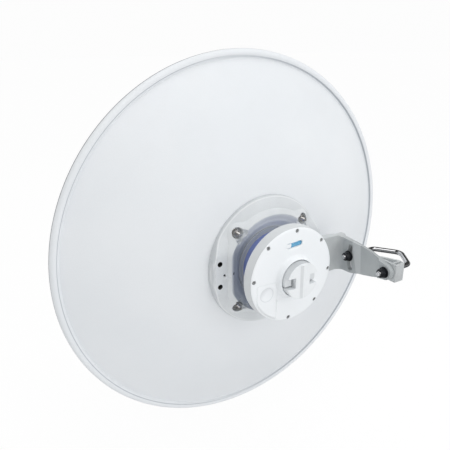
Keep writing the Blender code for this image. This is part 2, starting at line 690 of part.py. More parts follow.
def make_feed(parent):
    """Feed flange, tube and cap on the dish's front, with the cap at the focus."""
    flange_y = dish_rear_y(FEED_FLANGE_RADIUS) + SHEET
    flange = turned(
        [
            (FEED_TUBE_RADIUS + 0.0003, dish_rear_y(DISH_HOLE_RADIUS) + SHEET + 0.0020),
            (DISH_HOLE_RADIUS + 0.001, dish_rear_y(DISH_HOLE_RADIUS) + SHEET + 0.0006),
            (FEED_FLANGE_RADIUS, flange_y + GAP),
            (FEED_FLANGE_RADIUS, flange_y + 0.0030),
            (0.0300, flange_y + 0.0060),
            (FEED_TUBE_RADIUS + 0.0030, flange_y + 0.0140),
            (FEED_TUBE_RADIUS + 0.0003, flange_y + 0.0140),
        ],
        40,
    )
    finish("feed_flange", flange, "feed_white", parent)
    tube = rod(FEED_TUBE_RADIUS, HUB_FRONT_Y + GAP, FEED_CAP_Y[0] - GAP, 32)
    finish("feed_tube", tube, "feed_white", parent)
    low, high = FEED_CAP_Y
    cap = turned(
        [
            (0.0, low),
            (FEED_TUBE_RADIUS + 0.004, low),
            (FEED_CAP_RADIUS - 0.006, low + 0.030),
            (FEED_CAP_RADIUS, low + 0.040),
            (FEED_CAP_RADIUS, high - 0.008),
            (FEED_CAP_RADIUS - 0.003, high - 0.003),
            (FEED_CAP_RADIUS - 0.010, high),
            (0.0, high + 0.001),
        ],
        40,
    )
    finish("feed_cap", cap, "feed_white", parent)


def main():
    clear_scene()
    clamp_frame = make_empty("clamp_frame", (0.0, 0.0, 0.0))
    pivot = Vector((0.0, PIVOT_Y, 0.0)) - POLE_SEAT
    elevation_axis = make_empty("elevation_axis", pivot, clamp_frame)
    dish_frame = make_empty("dish_frame", (0.0, -PIVOT_Y, 0.0), elevation_axis)
    make_reflector(dish_frame)
    make_mounting_plate(dish_frame)
    make_plate_fasteners(dish_frame)
    make_hub(dish_frame)
    make_arm(dish_frame)
    make_feed(dish_frame)
    make_clamp_jaw(clamp_frame)
    make_u_bolt(clamp_frame)
    make_clamp_fasteners(clamp_frame)


main()
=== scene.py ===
"""Looks of a dish antenna seen from behind: its spun reflector, cast mounting plate, round radio
hub, side arm, pole clamp and feed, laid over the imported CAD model.

Sizes are in metres. The sub-assemblies on the dish are given in the dish's own frame, from the
middle of its rim with X right, Y along the beam and Z up, and moved to the row frame when their
mesh is made. The row frame's origin lies on the clamp's pole seat.
"""

import logging
import math
from collections.abc import Callable
from dataclasses import dataclass
from enum import Enum
from typing import NamedTuple

import bpy
import numpy as np
from mathutils import Matrix, Vector


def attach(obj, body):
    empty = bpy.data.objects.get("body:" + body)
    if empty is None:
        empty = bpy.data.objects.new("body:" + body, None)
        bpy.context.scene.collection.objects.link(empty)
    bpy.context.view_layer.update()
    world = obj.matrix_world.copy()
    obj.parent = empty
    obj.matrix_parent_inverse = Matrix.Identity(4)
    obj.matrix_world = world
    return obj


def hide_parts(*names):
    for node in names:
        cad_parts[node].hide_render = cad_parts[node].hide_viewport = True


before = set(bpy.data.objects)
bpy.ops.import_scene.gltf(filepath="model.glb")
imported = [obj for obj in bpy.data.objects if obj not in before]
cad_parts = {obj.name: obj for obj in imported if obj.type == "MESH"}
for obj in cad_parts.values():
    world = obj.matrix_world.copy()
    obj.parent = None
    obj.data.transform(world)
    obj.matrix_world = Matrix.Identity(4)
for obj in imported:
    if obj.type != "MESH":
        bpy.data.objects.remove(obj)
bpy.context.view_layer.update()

log = logging.getLogger("dish_antenna")

Colour = tuple[float, float, float]
Socket = bpy.types.NodeSocket
Value = float | Socket
Warped = tuple[np.ndarray, np.ndarray]
Warp = Callable[[np.ndarray, np.ndarray, np.ndarray], Warped]

GAP = 0.0003
DISH_TO_ROW = np.array([-0.1376, 0.17675, 0.0])
DISH_DEPTH = 0.085
FOCAL_LENGTH = 0.284
BEAD_INNER_RADIUS = 0.3112
BEAD_SETBACK = 0.0028
EAR_OFFSET = 0.0625
EARS = tuple((x, z) for z in (EAR_OFFSET, -EAR_OFFSET) for x in (-EAR_OFFSET, EAR_OFFSET))
SEAT_BOLT_X = 0.0945
SEAT_BOLT_RISE = 0.019
SEAT_BOLTS = tuple((x, z) for x in (-SEAT_BOLT_X, SEAT_BOLT_X) for z in (SEAT_BOLT_RISE, -SEAT_BOLT_RISE))
PIVOT_Y = -0.2140
LEG_SPACING = 0.0745
LEG_BORE_RADIUS = 0.0045
THREAD_PITCH = 0.00125
SEAT_LAND_X = 0.1376
ARM_INNER_X = 0.1240
ARM_OUTER_X = 0.1325


class Body(Enum):
    """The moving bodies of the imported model."""

    DISH = "dish"
    CLAMP = "clamp"


class Axis(Enum):
    """Which way a turned or extruded shape points."""

    X = "X"
    Y = "Y"
    Z = "Z"


def dish_rear_y(radius: np.ndarray | float) -> np.ndarray | float:
    """Rear of the paraboloid along the beam: its depth, plus radius squared over four focal lengths."""
    return -DISH_DEPTH + radius * radius / (4 * FOCAL_LENGTH)


RIM_MIDDLE_Y = dish_rear_y(BEAD_INNER_RADIUS) + BEAD_SETBACK


def smoothstep(low: float, high: float, value: np.ndarray) -> np.ndarray:
    """Rises from 0 at low to 1 at high as three t squared less two t cubed."""
    share = np.clip((value - low) / (high - low), 0.0, 1.0)
    return share * share * (3 - 2 * share)


def soft_least(first: np.ndarray, second: np.ndarray, reach: float) -> np.ndarray:
    """The smaller of two values, eased by a parabola where they are within reach of each other."""
    near = np.clip(1 - np.abs(first - second) / reach, 0.0, 1.0)
    return np.minimum(first, second) - near * near * reach / 4


def rounded_profile(points: list[tuple[float, float, float]], steps: int = 4) -> np.ndarray:
    """Rounds the corners of a section, each with a parabola between its two tangent points.

    Args:
        points: (radius, along, corner radius) for each corner.
        steps: segments in each rounded corner.

    Returns:
        The section's points, an array of (radius, along).
    """
    corners = np.array([p[:2] for p in points])
    out = [corners[:1]]
    for index in range(1, len(points) - 1):
        before, here, after = corners[index - 1], corners[index], corners[index + 1]
        reach = points[index][2]
        back = np.linalg.norm(before - here)
        ahead = np.linalg.norm(after - here)
        cut = min(reach, 0.45 * back, 0.45 * ahead)
        if cut < 1e-6:
            out.append(here[None])
            continue
        start = here + (before - here) * cut / back
        end = here + (after - here) * cut / ahead
        t = np.linspace(0.0, 1.0, steps + 1)[:, None]
        out.append((1 - t) ** 2 * start + 2 * t * (1 - t) * here + t**2 * end)
    out.append(corners[-1:])
    return np.concatenate(out)


def grid_faces(rows: int, columns: int, wrap_rows: bool, wrap_columns: bool) -> np.ndarray:
    """Quads of a grid whose points are numbered row by row.

    Args:
        rows: points along the first parameter.
        columns: points along the second parameter.
        wrap_rows: whether the last row joins the first.
        wrap_columns: whether the last column joins the first.

    Returns:
        An array of four point numbers for each quad.
    """
    row = np.arange(rows if wrap_rows else rows - 1)[:, None]
    column = np.arange(columns if wrap_columns else columns - 1)[None, :]
    below = (row + 1) % rows
    right = (column + 1) % columns
    quads = (
        row * columns + column,
        row * columns + right,
        below * columns + right,
        below * columns + column,
    )
    return np.stack([np.broadcast_to(q, (row.size, column.size)) for q in quads], -1).reshape(-1, 4)


@dataclass
class Surface:
    """Points and polygons on their way to becoming a mesh."""

    points: np.ndarray
    faces: list[list[int]]

    def moved(self, offset: np.ndarray | tuple[float, float, float]) -> "Surface":
        """The same surface carried by an offset."""
        return Surface(self.points + np.asarray(offset), self.faces)


def aimed(points: np.ndarray, axis: Axis) -> np.ndarray:
    """Turns points whose length lies along Z so that it lies along the axis.

    Args:
        points: an array of (x, y, z).
        axis: where Z goes.

    Returns:
        The turned points.
    """
    x, y, z = points[..., 0], points[..., 1], points[..., 2]
    if axis is Axis.X:
        return np.stack([z, x, y], -1)
    if axis is Axis.Y:
        return np.stack([x, z, -y], -1)
    return points


def lathe(section: np.ndarray, segments: int, axis: Axis = Axis.Y, warp: Warp | None = None) -> Surface:
    """A section turned about an axis: x = r cos t, y = r sin t, with t a full turn.

    Args:
        section: (radius, along) points; a radius of 0 at an end closes the shape there, and a
            section with none is closed on itself into a ring.
        segments: points in a full turn.
        axis: the axis of the turn.
        warp: a function of (radius, along, turn) that gives new (radius, along) arrays.

    Returns:
        A closed surface.
    """
    solid = bool(section[0, 0] == 0.0)
    body = section[1:-1] if solid else section
    turn = np.linspace(0.0, 2 * np.pi, segments, endpoint=False)
    radius, along = (np.repeat(body[:, i : i + 1], segments, 1) for i in (0, 1))
    if warp is not None:
        radius, along = warp(radius, along, turn[None, :])
    grid = np.stack([radius * np.cos(turn), radius * np.sin(turn), along], -1).reshape(-1, 3)
    faces = grid_faces(len(body), segments, not solid, True).tolist()
    if solid:
        ends = np.array([[0.0, 0.0, section[0, 1]], [0.0, 0.0, section[-1, 1]]])
        first = len(grid)
        last_row = (len(body) - 1) * segments
        step = np.arange(segments)
        after = (step + 1) % segments
        caps = [np.stack([np.full(segments, first), after, step], -1)]
        caps.append(np.stack([np.full(segments, first + 1), last_row + step, last_row + after], -1))
        grid = np.concatenate([grid, ends])
        faces += np.concatenate(caps).tolist()
    return Surface(aimed(grid, axis), faces)


def extrude(outline: np.ndarray, low: float, high: float, axis: Axis) -> Surface:
    """An outline carried straight from low to high, with a flat cap at each end.

    Args:
        outline: (u, v) points, which are (x, y) for Z, (y, z) for X and (x, z) for Y.
        low: where the prism starts.
        high: where it ends.
        axis: the way it is carried.

    Returns:
        A closed prism.
    """
    count = len(outline)
    flat = np.concatenate([outline, outline])
    along = np.repeat([low, high], count)
    columns = {
        Axis.Z: (flat[:, 0], flat[:, 1], along),
        Axis.X: (along, flat[:, 0], flat[:, 1]),
        Axis.Y: (flat[:, 0], along, flat[:, 1]),
    }
    sides = grid_faces(2, count, False, True).tolist()
    caps = [list(range(count - 1, -1, -1)), list(range(count, 2 * count))]
    return Surface(np.stack(columns[axis], -1), sides + caps)


def swept(path: np.ndarray, radius: np.ndarray, sides: int) -> Surface:
    """A round bar along a flat path: each point lies at its radius round the path's own frame.

    Args:
        path: the middle line, an array of (x, y, 0) points.
        radius: a grid of radii, path point by side.
        sides: points round the bar.

    Returns:
        The bar, closed at both ends.
    """
    along = np.gradient(path, axis=0)
    along /= np.linalg.norm(along, axis=1)[:, None]
    up = np.array([0.0, 0.0, 1.0])
    side = np.cross(along, up)
    turn = np.linspace(0.0, 2 * np.pi, sides, endpoint=False)
    ring = np.cos(turn)[None, :, None] * side[:, None] + np.sin(turn)[None, :, None] * up
    grid = (path[:, None] + ring * radius[..., None]).reshape(-1, 3)
    faces = grid_faces(len(path), sides, False, True).tolist()
    last = (len(path) - 1) * sides
    faces += [list(range(sides - 1, -1, -1)), list(range(last, last + sides))]
    return Surface(grid, faces)


def arc(centre: tuple[float, float], radius: float, start: float, end: float, steps: int) -> np.ndarray:
    """Points of an arc, centre plus radius times (cos t, sin t), from start to end in degrees."""
    turn = np.radians(np.linspace(start, end, steps + 1))
    return np.stack([centre[0] + radius * np.cos(turn), centre[1] + radius * np.sin(turn)], -1)


def circle(centre: tuple[float, float], radius: float, count: int = 32) -> np.ndarray:
    """A full circle of points, with the first not repeated at the end."""
    return arc(centre, radius, 0.0, 360.0 - 360.0 / count, count - 1)


def ring_row(reach: np.ndarray, along: np.ndarray, turn: np.ndarray) -> np.ndarray:
    """A row of a polar grid: x = reach cos t and z = reach sin t, at a place along the beam."""
    return np.stack([reach * np.cos(turn), along, reach * np.sin(turn)], -1)


def dish_cutter(outline: np.ndarray, low: float, high: float, axis: Axis) -> Surface:
    """A prism given in the dish's frame, moved to the row frame."""
    return extrude(outline, low, high, axis).moved(DISH_TO_ROW)


def make_object(name: str, surface: Surface, smooth_degrees: float = 35.0) -> bpy.types.Object:
    """A mesh object from a surface, facing outwards.

    Args:
        name: the object's name.
        surface: its points and polygons, in the row frame.
        smooth_degrees: edges sharper than this stay crisp.

    Returns:
        The new object.
    """
    mesh = bpy.data.meshes.new(name)
    mesh.from_pydata(surface.points.tolist(), [], surface.faces)
    mesh.update()
    obj = bpy.data.objects.new(name, mesh)
    bpy.context.collection.objects.link(obj)
    face_outwards(mesh)
    mesh.shade_smooth()
    mesh.set_sharp_from_angle(angle=math.radians(smooth_degrees))
    return obj


def face_outwards(mesh: bpy.types.Mesh) -> None:
    """Turns all faces of a closed mesh outwards if its signed volume is negative.

    Args:
        mesh: the mesh, which is changed.
    """
    mesh.calc_loop_triangles()
    points = np.empty(len(mesh.vertices) * 3)
    mesh.vertices.foreach_get("co", points)
    corners = np.empty(len(mesh.loop_triangles) * 3, np.int32)
    mesh.loop_triangles.foreach_get("vertices", corners)
    tri = points.reshape(-1, 3)[corners.reshape(-1, 3)]
    if np.einsum("ij,ij->", tri[:, 0], np.cross(tri[:, 1], tri[:, 2])) < 0:
        mesh.flip_normals()


def cut_and_join(obj: bpy.types.Object, steps: list[tuple[str, Surface]]) -> None:
    """Applies exact Booleans to an object, one helper after the other.

    Args:
        obj: the object to change.
        steps: (operation, surface) pairs, with DIFFERENCE, UNION or INTERSECT.
    """
    helpers = []
    for index, (operation, surface) in enumerate(steps):
        helper = make_object(f"{obj.name}_helper_{index}", surface)
        modifier = obj.modifiers.new(f"step_{index}", "BOOLEAN")
        modifier.operation = operation
        modifier.solver = "EXACT"
        modifier.object = helper
        helpers.append(helper)
    bake_modifiers(obj)
    for helper in helpers:
        bpy.data.objects.remove(helper)


def bake_modifiers(obj: bpy.types.Object) -> None:
    """Puts an object's evaluated mesh in place of its own and clears its modifiers.

    Args:
        obj: the object, which is changed.
    """
    graph = bpy.context.evaluated_depsgraph_get()
    mesh = bpy.data.meshes.new_from_object(obj.evaluated_get(graph))
    obj.modifiers.clear()
    old = obj.data
    obj.data = mesh
    bpy.data.meshes.remove(old)


def soften(obj: bpy.types.Object, width: float, segments: int = 3, degrees: float = 32.0) -> None:
    """Rounds an object's sharp edges and keeps its flats flat.

    Args:
        obj: the object to finish.
        width: width of the rounding.
        segments: faces across it.
        degrees: edges blunter than this stay as they are.
    """
    weld = obj.modifiers.new("no_short_edges", "WELD")
    weld.merge_threshold = 0.0004
    bevel = obj.modifiers.new("soft_edges", "BEVEL")
    bevel.width = width
    bevel.segments = segments
    bevel.limit_method = "ANGLE"
    bevel.angle_limit = math.radians(degrees)
    bevel.harden_normals = False
    bevel.use_clamp_overlap = False
    bake_modifiers(obj)
    obj.data.shade_smooth()
    obj.data.set_sharp_from_angle(angle=math.radians(40))
    normals = obj.modifiers.new("flat_faces", "WEIGHTED_NORMAL")
    normals.keep_sharp = True
    bake_modifiers(obj)


class Graph:
    """Short calls for putting nodes into one node tree."""

    def __init__(self, tree: bpy.types.NodeTree) -> None:
        """Keeps the tree that the calls work on."""
        self.tree = tree

    def node(self, kind: str, inputs: dict | None = None, **settings: object) -> bpy.types.Node:
        """A new node.

        Args:
            kind: Blender's node type.
            inputs: values or sockets for its inputs, by name or number.
            **settings: attributes of the node.

        Returns:
            The node.
        """
        made = self.tree.nodes.new(kind)
        for key, value in settings.items():
            setattr(made, key, value)
        for key, value in (inputs or {}).items():
            if isinstance(value, Socket):
                self.tree.links.new(value, made.inputs[key])
            else:
                made.inputs[key].default_value = value
        return made

    def maths(self, operation: str, first: Value, second: Value = 0.0, clamp: bool = False) -> Socket:
        """The result of one Math node."""
        made = self.node("ShaderNodeMath", {0: first, 1: second}, operation=operation, use_clamp=clamp)
        return made.outputs[0]

    def plus(self, first: Value, second: Value) -> Socket:
        """The sum of two values."""
        return self.maths("ADD", first, second)

    def minus(self, first: Value, second: Value) -> Socket:
        """The first value less the second."""
        return self.maths("SUBTRACT", first, second)

    def times(self, first: Value, second: Value) -> Socket:
        """The product of two values."""
        return self.maths("MULTIPLY", first, second)

    def most(self, first: Value, second: Value) -> Socket:
        """The larger of two values."""
        return self.maths("MAXIMUM", first, second)

    def size(self, value: Value) -> Socket:
        """The value without its sign."""
        return self.maths("ABSOLUTE", value)

    def span(
        self, value: Value, low: float, high: float, to_low: float = 0.0, to_high: float = 1.0
    ) -> Socket:
        """A value carried smoothly from one range to another with a Map Range node.

        Args:
            value: the number or socket.
            low: where the result is to_low.
            high: where the result is to_high; it may be under low.
            to_low: the result at low.
            to_high: the result at high.

        Returns:
            The eased value.
        """
        inputs = {"Value": value, "From Min": low, "From Max": high, "To Min": to_low, "To Max": to_high}
        made = self.node("ShaderNodeMapRange", inputs, interpolation_type="SMOOTHSTEP", clamp=True)
        return made.outputs["Result"]

    def reach(self, first: Value, second: Value) -> Socket:
        """The root of the sum of two squares."""
        square = self.plus(self.times(first, first), self.times(second, second))
        return self.maths("SQRT", square)

    def ring(self, value: Value, middle: float, far: float, near: float) -> Socket:
        """One near the middle value, falling to zero at the far distance from it."""
        return self.span(self.size(self.minus(value, middle)), far, near)

    def blend(self, share: Value, first: Colour | Socket, second: Colour | Socket) -> Socket:
        """Two colours mixed by a share.

        Args:
            share: 0 for the first colour, 1 for the second.
            first: a colour or a socket.
            second: a colour or a socket.

        Returns:
            The mixed colour.
        """
        made = self.node("ShaderNodeMix", {}, data_type="RGBA")
        for index, value in ((0, share), (6, first), (7, second)):
            if isinstance(value, Socket):
                self.tree.links.new(value, made.inputs[index])
            elif index == 0:
                made.inputs[index].default_value = value
            else:
                made.inputs[index].default_value = (*value[:3], 1.0)
        return made.outputs[2]


def new_group(
    name: str, inputs: dict[str, float], outputs: tuple[str, ...]
) -> tuple[bpy.types.NodeTree, Graph, bpy.types.Node, bpy.types.Node]:
    """An empty shader node group with number inputs and outputs.

    Args:
        name: the group's name.
        inputs: default value of each input by name.
        outputs: names of its outputs.

    Returns:
        The tree, its graph, its input node and its output node.
    """
    tree = bpy.data.node_groups.new(name, "ShaderNodeTree")
    for key, value in inputs.items():
        socket = tree.interface.new_socket(name=key, in_out="INPUT", socket_type="NodeSocketFloat")
        socket.default_value = value
    for key in outputs:
        tree.interface.new_socket(name=key, in_out="OUTPUT", socket_type="NodeSocketFloat")
    entry = tree.nodes.new("NodeGroupInput")
    leave = tree.nodes.new("NodeGroupOutput")
    return tree, Graph(tree), entry, leave


class SurfaceEffects:
    """The node groups that several finishes share."""

    def __init__(self) -> None:
        """Builds each group once."""
        self.grain = self.build_grain()
        self.grime = self.build_grime()
        self.brush = self.build_brush()

    def build_grain(self) -> bpy.types.NodeTree:
        """Paint or moulded grain: a fine noise with a broad one under it, as height and tone.

        Returns:
            The node group.
        """
        inputs = {"Fine Scale": 900.0, "Broad Scale": 9.0, "Depth": 0.5}
        tree, g, entry, leave = new_group("surface_grain", inputs, ("Height", "Tone"))
        place = g.node("ShaderNodeTexCoord").outputs["Object"]
        small = {"Vector": place, "Scale": entry.outputs[0], "Detail": 3.0, "Roughness": 0.55}
        fine = g.node("ShaderNodeTexNoise", small).outputs[0]
        large = {"Vector": place, "Scale": entry.outputs[1], "Detail": 4.0}
        broad = g.node("ShaderNodeTexNoise", large).outputs[0]
        tree.links.new(g.times(fine, entry.outputs[2]), leave.inputs[0])
        tree.links.new(g.plus(g.times(fine, 0.35), g.times(broad, 0.65)), leave.inputs[1])
        return tree

    def build_grime(self) -> bpy.types.NodeTree:
        """Settled dust: more of it on faces that look up, broken by a soft noise.

        Returns:
            The node group.
        """
        tree, g, entry, leave = new_group("settled_dust", {"Amount": 0.3, "Scale": 30.0}, ("Mask",))
        place = g.node("ShaderNodeTexCoord").outputs["Object"]
        cloud = {"Vector": place, "Scale": entry.outputs[1], "Detail": 5.0, "Roughness": 0.65}
        noise = g.node("ShaderNodeTexNoise", cloud).outputs[0]
        normal = g.node("ShaderNodeNewGeometry").outputs["Normal"]
        up = g.node("ShaderNodeSeparateXYZ", {0: normal}).outputs[2]
        facing = g.span(up, -0.2, 0.9, 0.15, 1.0)
        patch = g.span(noise, 0.42, 0.68)
        mask = g.maths("MULTIPLY", g.times(facing, patch), entry.outputs[0], clamp=True)
        tree.links.new(mask, leave.inputs[0])
        return tree

    def build_brush(self) -> bpy.types.NodeTree:
        """Drawn or brushed metal: noise stretched along one way, as height and tone.

        Returns:
            The node group.
        """
        inputs = {"Along": 60.0, "Across": 1600.0, "Depth": 0.4}
        tree, g, entry, leave = new_group("brushed_lines", inputs, ("Height", "Tone"))
        place = g.node("ShaderNodeTexCoord").outputs["Object"]
        scales = {0: entry.outputs[0], 1: entry.outputs[1], 2: entry.outputs[1]}
        stretch = g.node("ShaderNodeCombineXYZ", scales).outputs[0]
        scaled = g.node("ShaderNodeVectorMath", {0: place, 1: stretch}, operation="MULTIPLY").outputs[0]
        noise = g.node("ShaderNodeTexNoise", {"Vector": scaled, "Scale": 1.0, "Detail": 2.0}).outputs[0]
        tree.links.new(g.times(noise, entry.outputs[2]), leave.inputs[0])
        tree.links.new(noise, leave.inputs[1])
        return tree


class Pattern(Enum):
    """What breaks up a finish."""

    GRAIN = "grain"
    BRUSH = "brush"


class Place(NamedTuple):
    """Where a point of a surface lies in the dish's frame, and its distance from the beam."""

    x: Socket
    y: Socket
    z: Socket
    radius: Socket


@dataclass(frozen=True)
class Finish:
    """One surface finish, from which a node material is made."""

    name: str
    slot: str
    colour: Colour
    shade: Colour
    roughness: tuple[float, float]
    metallic: float = 0.0
    coat: float = 0.0
    coat_roughness: float = 0.12
    specular: float = 0.5
    fine_scale: float = 900.0
    broad_scale: float = 9.0
    bump: float = 0.08
    bump_distance: float = 0.0004
    dust: float = 0.12
    dust_colour: Colour = (0.62, 0.61, 0.58)
    pattern: Pattern = Pattern.GRAIN

    def build(self, effects: SurfaceEffects) -> bpy.types.Material:
        """The finish as a material: toned colour, patchy roughness, bump and a little dust.

        Args:
            effects: the shared node groups.

        Returns:
            The material.
        """
        material = bpy.data.materials.new(self.name)
        material.use_nodes = True
        material.diffuse_color = (*self.colour, 1.0)
        tree = material.node_tree
        g = Graph(tree)
        shader = tree.nodes["Principled BSDF"]
        shader.inputs["Metallic"].default_value = self.metallic
        shader.inputs["Coat Weight"].default_value = self.coat
        shader.inputs["Coat Roughness"].default_value = self.coat_roughness
        shader.inputs["Specular IOR Level"].default_value = self.specular
        detail = self.detail_node(g, effects)
        tone = detail.outputs["Tone"]
        colour = self.place_colour(g, g.blend(g.span(tone, 0.34, 0.66), self.shade, self.colour))
        dust = g.node("ShaderNodeGroup", node_tree=effects.grime)
        dust.inputs["Amount"].default_value = self.dust
        mask = dust.outputs["Mask"]
        tree.links.new(g.blend(mask, colour, self.dust_colour), shader.inputs["Base Color"])
        rough = g.plus(g.span(tone, 0.3, 0.7, *self.roughness), g.times(mask, 0.3))
        tree.links.new(rough, shader.inputs["Roughness"])
        relief = {"Strength": self.bump, "Distance": self.bump_distance, "Height": detail.outputs["Height"]}
        tree.links.new(g.node("ShaderNodeBump", relief).outputs[0], shader.inputs["Normal"])
        return material

    def detail_node(self, g: Graph, effects: SurfaceEffects) -> bpy.types.Node:
        """The group node that breaks up the finish.

        Args:
            g: the material's graph.
            effects: the shared node groups.

        Returns:
            The node, with a height and a tone.
        """
        if self.pattern is Pattern.BRUSH:
            return g.node("ShaderNodeGroup", node_tree=effects.brush)
        detail = g.node("ShaderNodeGroup", node_tree=effects.grain)
        detail.inputs["Fine Scale"].default_value = self.fine_scale
        detail.inputs["Broad Scale"].default_value = self.broad_scale
        return detail

    def place_colour(self, g: Graph, colour: Socket) -> Socket:
        """Changes the colour by place; the plain finish leaves it as it is."""
        return colour

    def dish_place(self, g: Graph) -> Place:
        """Places in the dish's frame, from Object coordinates in the row frame.

        Args:
            g: the material's graph.

        Returns:
            The place, as sockets.
        """
        place = g.node("ShaderNodeTexCoord").outputs["Object"]
        parts = g.node("ShaderNodeSeparateXYZ", {0: place}).outputs
        x = g.minus(parts[0], DISH_TO_ROW[0])
        y = g.minus(parts[1], DISH_TO_ROW[1])
        return Place(x, y, parts[2], g.reach(x, parts[2]))


@dataclass(frozen=True)
class DishPaintedShade(Finish):
    """Dish paint with painted shade on the seam where the sheet rolls into the rim and on its outer edge."""

    right_seam: float = 0.3135
    left_seam: float = 0.3152
    painted_seam_shade: Colour = (0.36, 0.39, 0.43)
    outline_start: float = 0.3188
    painted_outline_shade: Colour = (0.30, 0.32, 0.34)

    def place_colour(self, g: Graph, colour: Socket) -> Socket:
        """Paints shade on a narrow ring on each side of the rear, and on the rim's outer edge.

        Args:
            g: the material's graph.
            colour: the colour so far.

        Returns:
            The colour with its painted seam and edge shade.
        """
        place = self.dish_place(g)
        # painted shade: the seam ring darkens strongly on the right and faintly on the left, and the rim's
        # outer edge darkens most on the left
        rear = g.span(place.y, 0.0035, 0.0015)
        right = g.times(rear, g.span(place.x, -0.16, 0.22, 0.0, 0.90))
        share = g.times(g.ring(place.radius, self.right_seam, 0.0017, 0.0003), right)
        colour = g.blend(share, colour, self.painted_seam_shade)
        left = g.times(rear, g.span(place.x, 0.06, -0.14))
        share = g.times(g.ring(place.radius, self.left_seam, 0.0011, 0.0003), left)
        colour = g.blend(g.times(share, 0.62), colour, self.painted_seam_shade)
        edge = g.ring(place.y, RIM_MIDDLE_Y + 0.0012, 0.0030, 0.0022)
        outer = g.times(g.span(place.radius, self.outline_start, 0.3200), edge)
        share = g.times(outer, g.span(place.x, 0.10, -0.10, 0.35, 0.95))
        return g.blend(share, colour, self.painted_outline_shade)


@dataclass(frozen=True)
class CavityPaintedShade(Finish):
    """Plate paint with painted light and shade: a dim bluish shade towards the cavity's bottom."""

    half_width: float = 0.1068
    half_height: float = 0.1092
    painted_rim_highlight: Colour = (0.88, 0.90, 0.91)
    painted_edge_shade: Colour = (0.42, 0.45, 0.47)
    pad_edge: float = 0.1041
    painted_upper_shade: Colour = (0.76, 0.79, 0.81)
    painted_lower_shade: Colour = (0.325, 0.36, 0.41)
    step_radius: float = 0.0716
    painted_step_highlight: Colour = (0.75, 0.78, 0.80)
    pin: tuple[float, float] = (-0.0867, -0.0014)
    notch: tuple[float, float] = (-0.0729, 0.0003)
    painted_hole_shade: Colour = (0.012, 0.014, 0.016)

    def place_colour(self, g: Graph, colour: Socket) -> Socket:
        """Paints light and shade on the plate's edges, shade in the cavity and black shade in the small
        holes.

        Args:
            g: the material's graph.
            colour: the colour so far.

        Returns:
            The colour by place.
        """
        place = self.dish_place(g)
        colour = self.edge_painted_light_and_shade(g, place, colour)
        # painted shade: inside its lip the cavity takes the dim shade, which is lighter towards the top
        in_radius = g.span(place.radius, 0.0829, 0.0812)
        in_width = g.span(g.size(place.x), 0.0778, 0.0705)
        inside = g.maths("MINIMUM", in_radius, in_width)
        colour = g.blend(inside, colour, self.cavity_painted_shade(g, place))
        return g.blend(self.painted_hole_share(g, place), colour, self.painted_hole_shade)

    def edge_painted_light_and_shade(self, g: Graph, place: Place, colour: Socket) -> Socket:
        """A painted highlight inside the oval rim, and painted shade on the rim and the pad's edge.

        Args:
            g: the material's graph.
            place: places in the dish's frame.
            colour: the colour so far.

        Returns:
            The colour with its painted edge light and shade.
        """
        # painted highlight on a line inside the oval rim, and painted shade on the rim's edge and the pads'
        # step
        across = g.maths("DIVIDE", place.x, self.half_width)
        oval = g.reach(across, g.maths("DIVIDE", place.z, self.half_height))
        colour = g.blend(g.times(g.ring(oval, 0.980, 0.010, 0.003), 0.5), colour, self.painted_rim_highlight)
        beside = g.ring(g.size(place.x), self.pad_edge, 0.0009, 0.0003)
        pad = g.times(beside, g.span(g.size(place.z), 0.058, 0.046))
        edge = g.most(g.span(oval, 0.990, 0.998), pad)
        return g.blend(g.times(edge, 0.40), colour, self.painted_edge_shade)

    def cavity_painted_shade(self, g: Graph, place: Place) -> Socket:
        """The cavity's painted shade: dimmer downwards, with a faint painted highlight on its inner step.

        Args:
            g: the material's graph.
            place: places in the dish's frame.

        Returns:
            The painted shade.
        """
        shade = g.blend(g.span(place.z, 0.076, 0.025), self.painted_upper_shade, self.painted_lower_shade)
        step = g.ring(place.radius, self.step_radius, 0.0009, 0.0002)
        return g.blend(g.times(step, g.span(place.z, 0.03, 0.06, 0.0, 0.15)), shade, self.painted_step_highlight)

    def painted_hole_share(self, g: Graph, place: Place) -> Socket:
        """One where black shade is painted: inside the tapped holes of both pads, the pin hole and the small
        notch.

        Args:
            g: the material's graph.
            place: places in the dish's frame.

        Returns:
            The share.
        """
        # painted shade: the holes are painted near black
        across = g.minus(g.size(place.x), SEAT_BOLT_X)
        up = g.minus(g.size(place.z), SEAT_BOLT_RISE)
        tapped = g.span(g.reach(across, up), 0.00425, 0.00412)
        from_pin = g.reach(g.minus(place.x, self.pin[0]), g.minus(place.z, self.pin[1]))
        narrowed = g.times(g.minus(place.x, self.notch[0]), 1.9)
        from_notch = g.reach(narrowed, g.minus(place.z, self.notch[1]))
        small = g.most(g.span(from_pin, 0.0021, 0.0014), g.span(from_notch, 0.0030, 0.0022))
        return g.most(tapped, small)


@dataclass(frozen=True)
class NeckPaintedShade(Finish):
    """Blue neck, its base ring in painted shade like the cavity, with a painted highlight line at its foot.
    """

    painted_upper_shade: Colour = (0.46, 0.49, 0.53)
    painted_lower_shade: Colour = (0.32, 0.35, 0.395)
    foot_radius: float = 0.0536
    painted_foot_light: Colour = (0.46, 0.46, 0.44)

    def place_colour(self, g: Graph, colour: Socket) -> Socket:
        """Paints shade on the base ring, dimmer downwards, and a highlight line, by distance from the beam.

        Args:
            g: the material's graph.
            colour: the blue.

        Returns:
            The colour by place.
        """
        place = self.dish_place(g)
        # painted shade on the base ring beyond the blue, dimmer downwards, and a painted highlight line at
        # the neck's foot
        dim = g.blend(g.span(place.z, 0.055, 0.015), self.painted_upper_shade, self.painted_lower_shade)
        colour = g.blend(g.span(place.radius, 0.0531, 0.0533), colour, dim)
        foot = g.ring(place.radius, self.foot_radius, 0.0006, 0.0003)
        line = g.times(foot, g.span(place.z, 0.050, 0.030, 0.25, 1.0))
        return g.blend(line, colour, self.painted_foot_light)


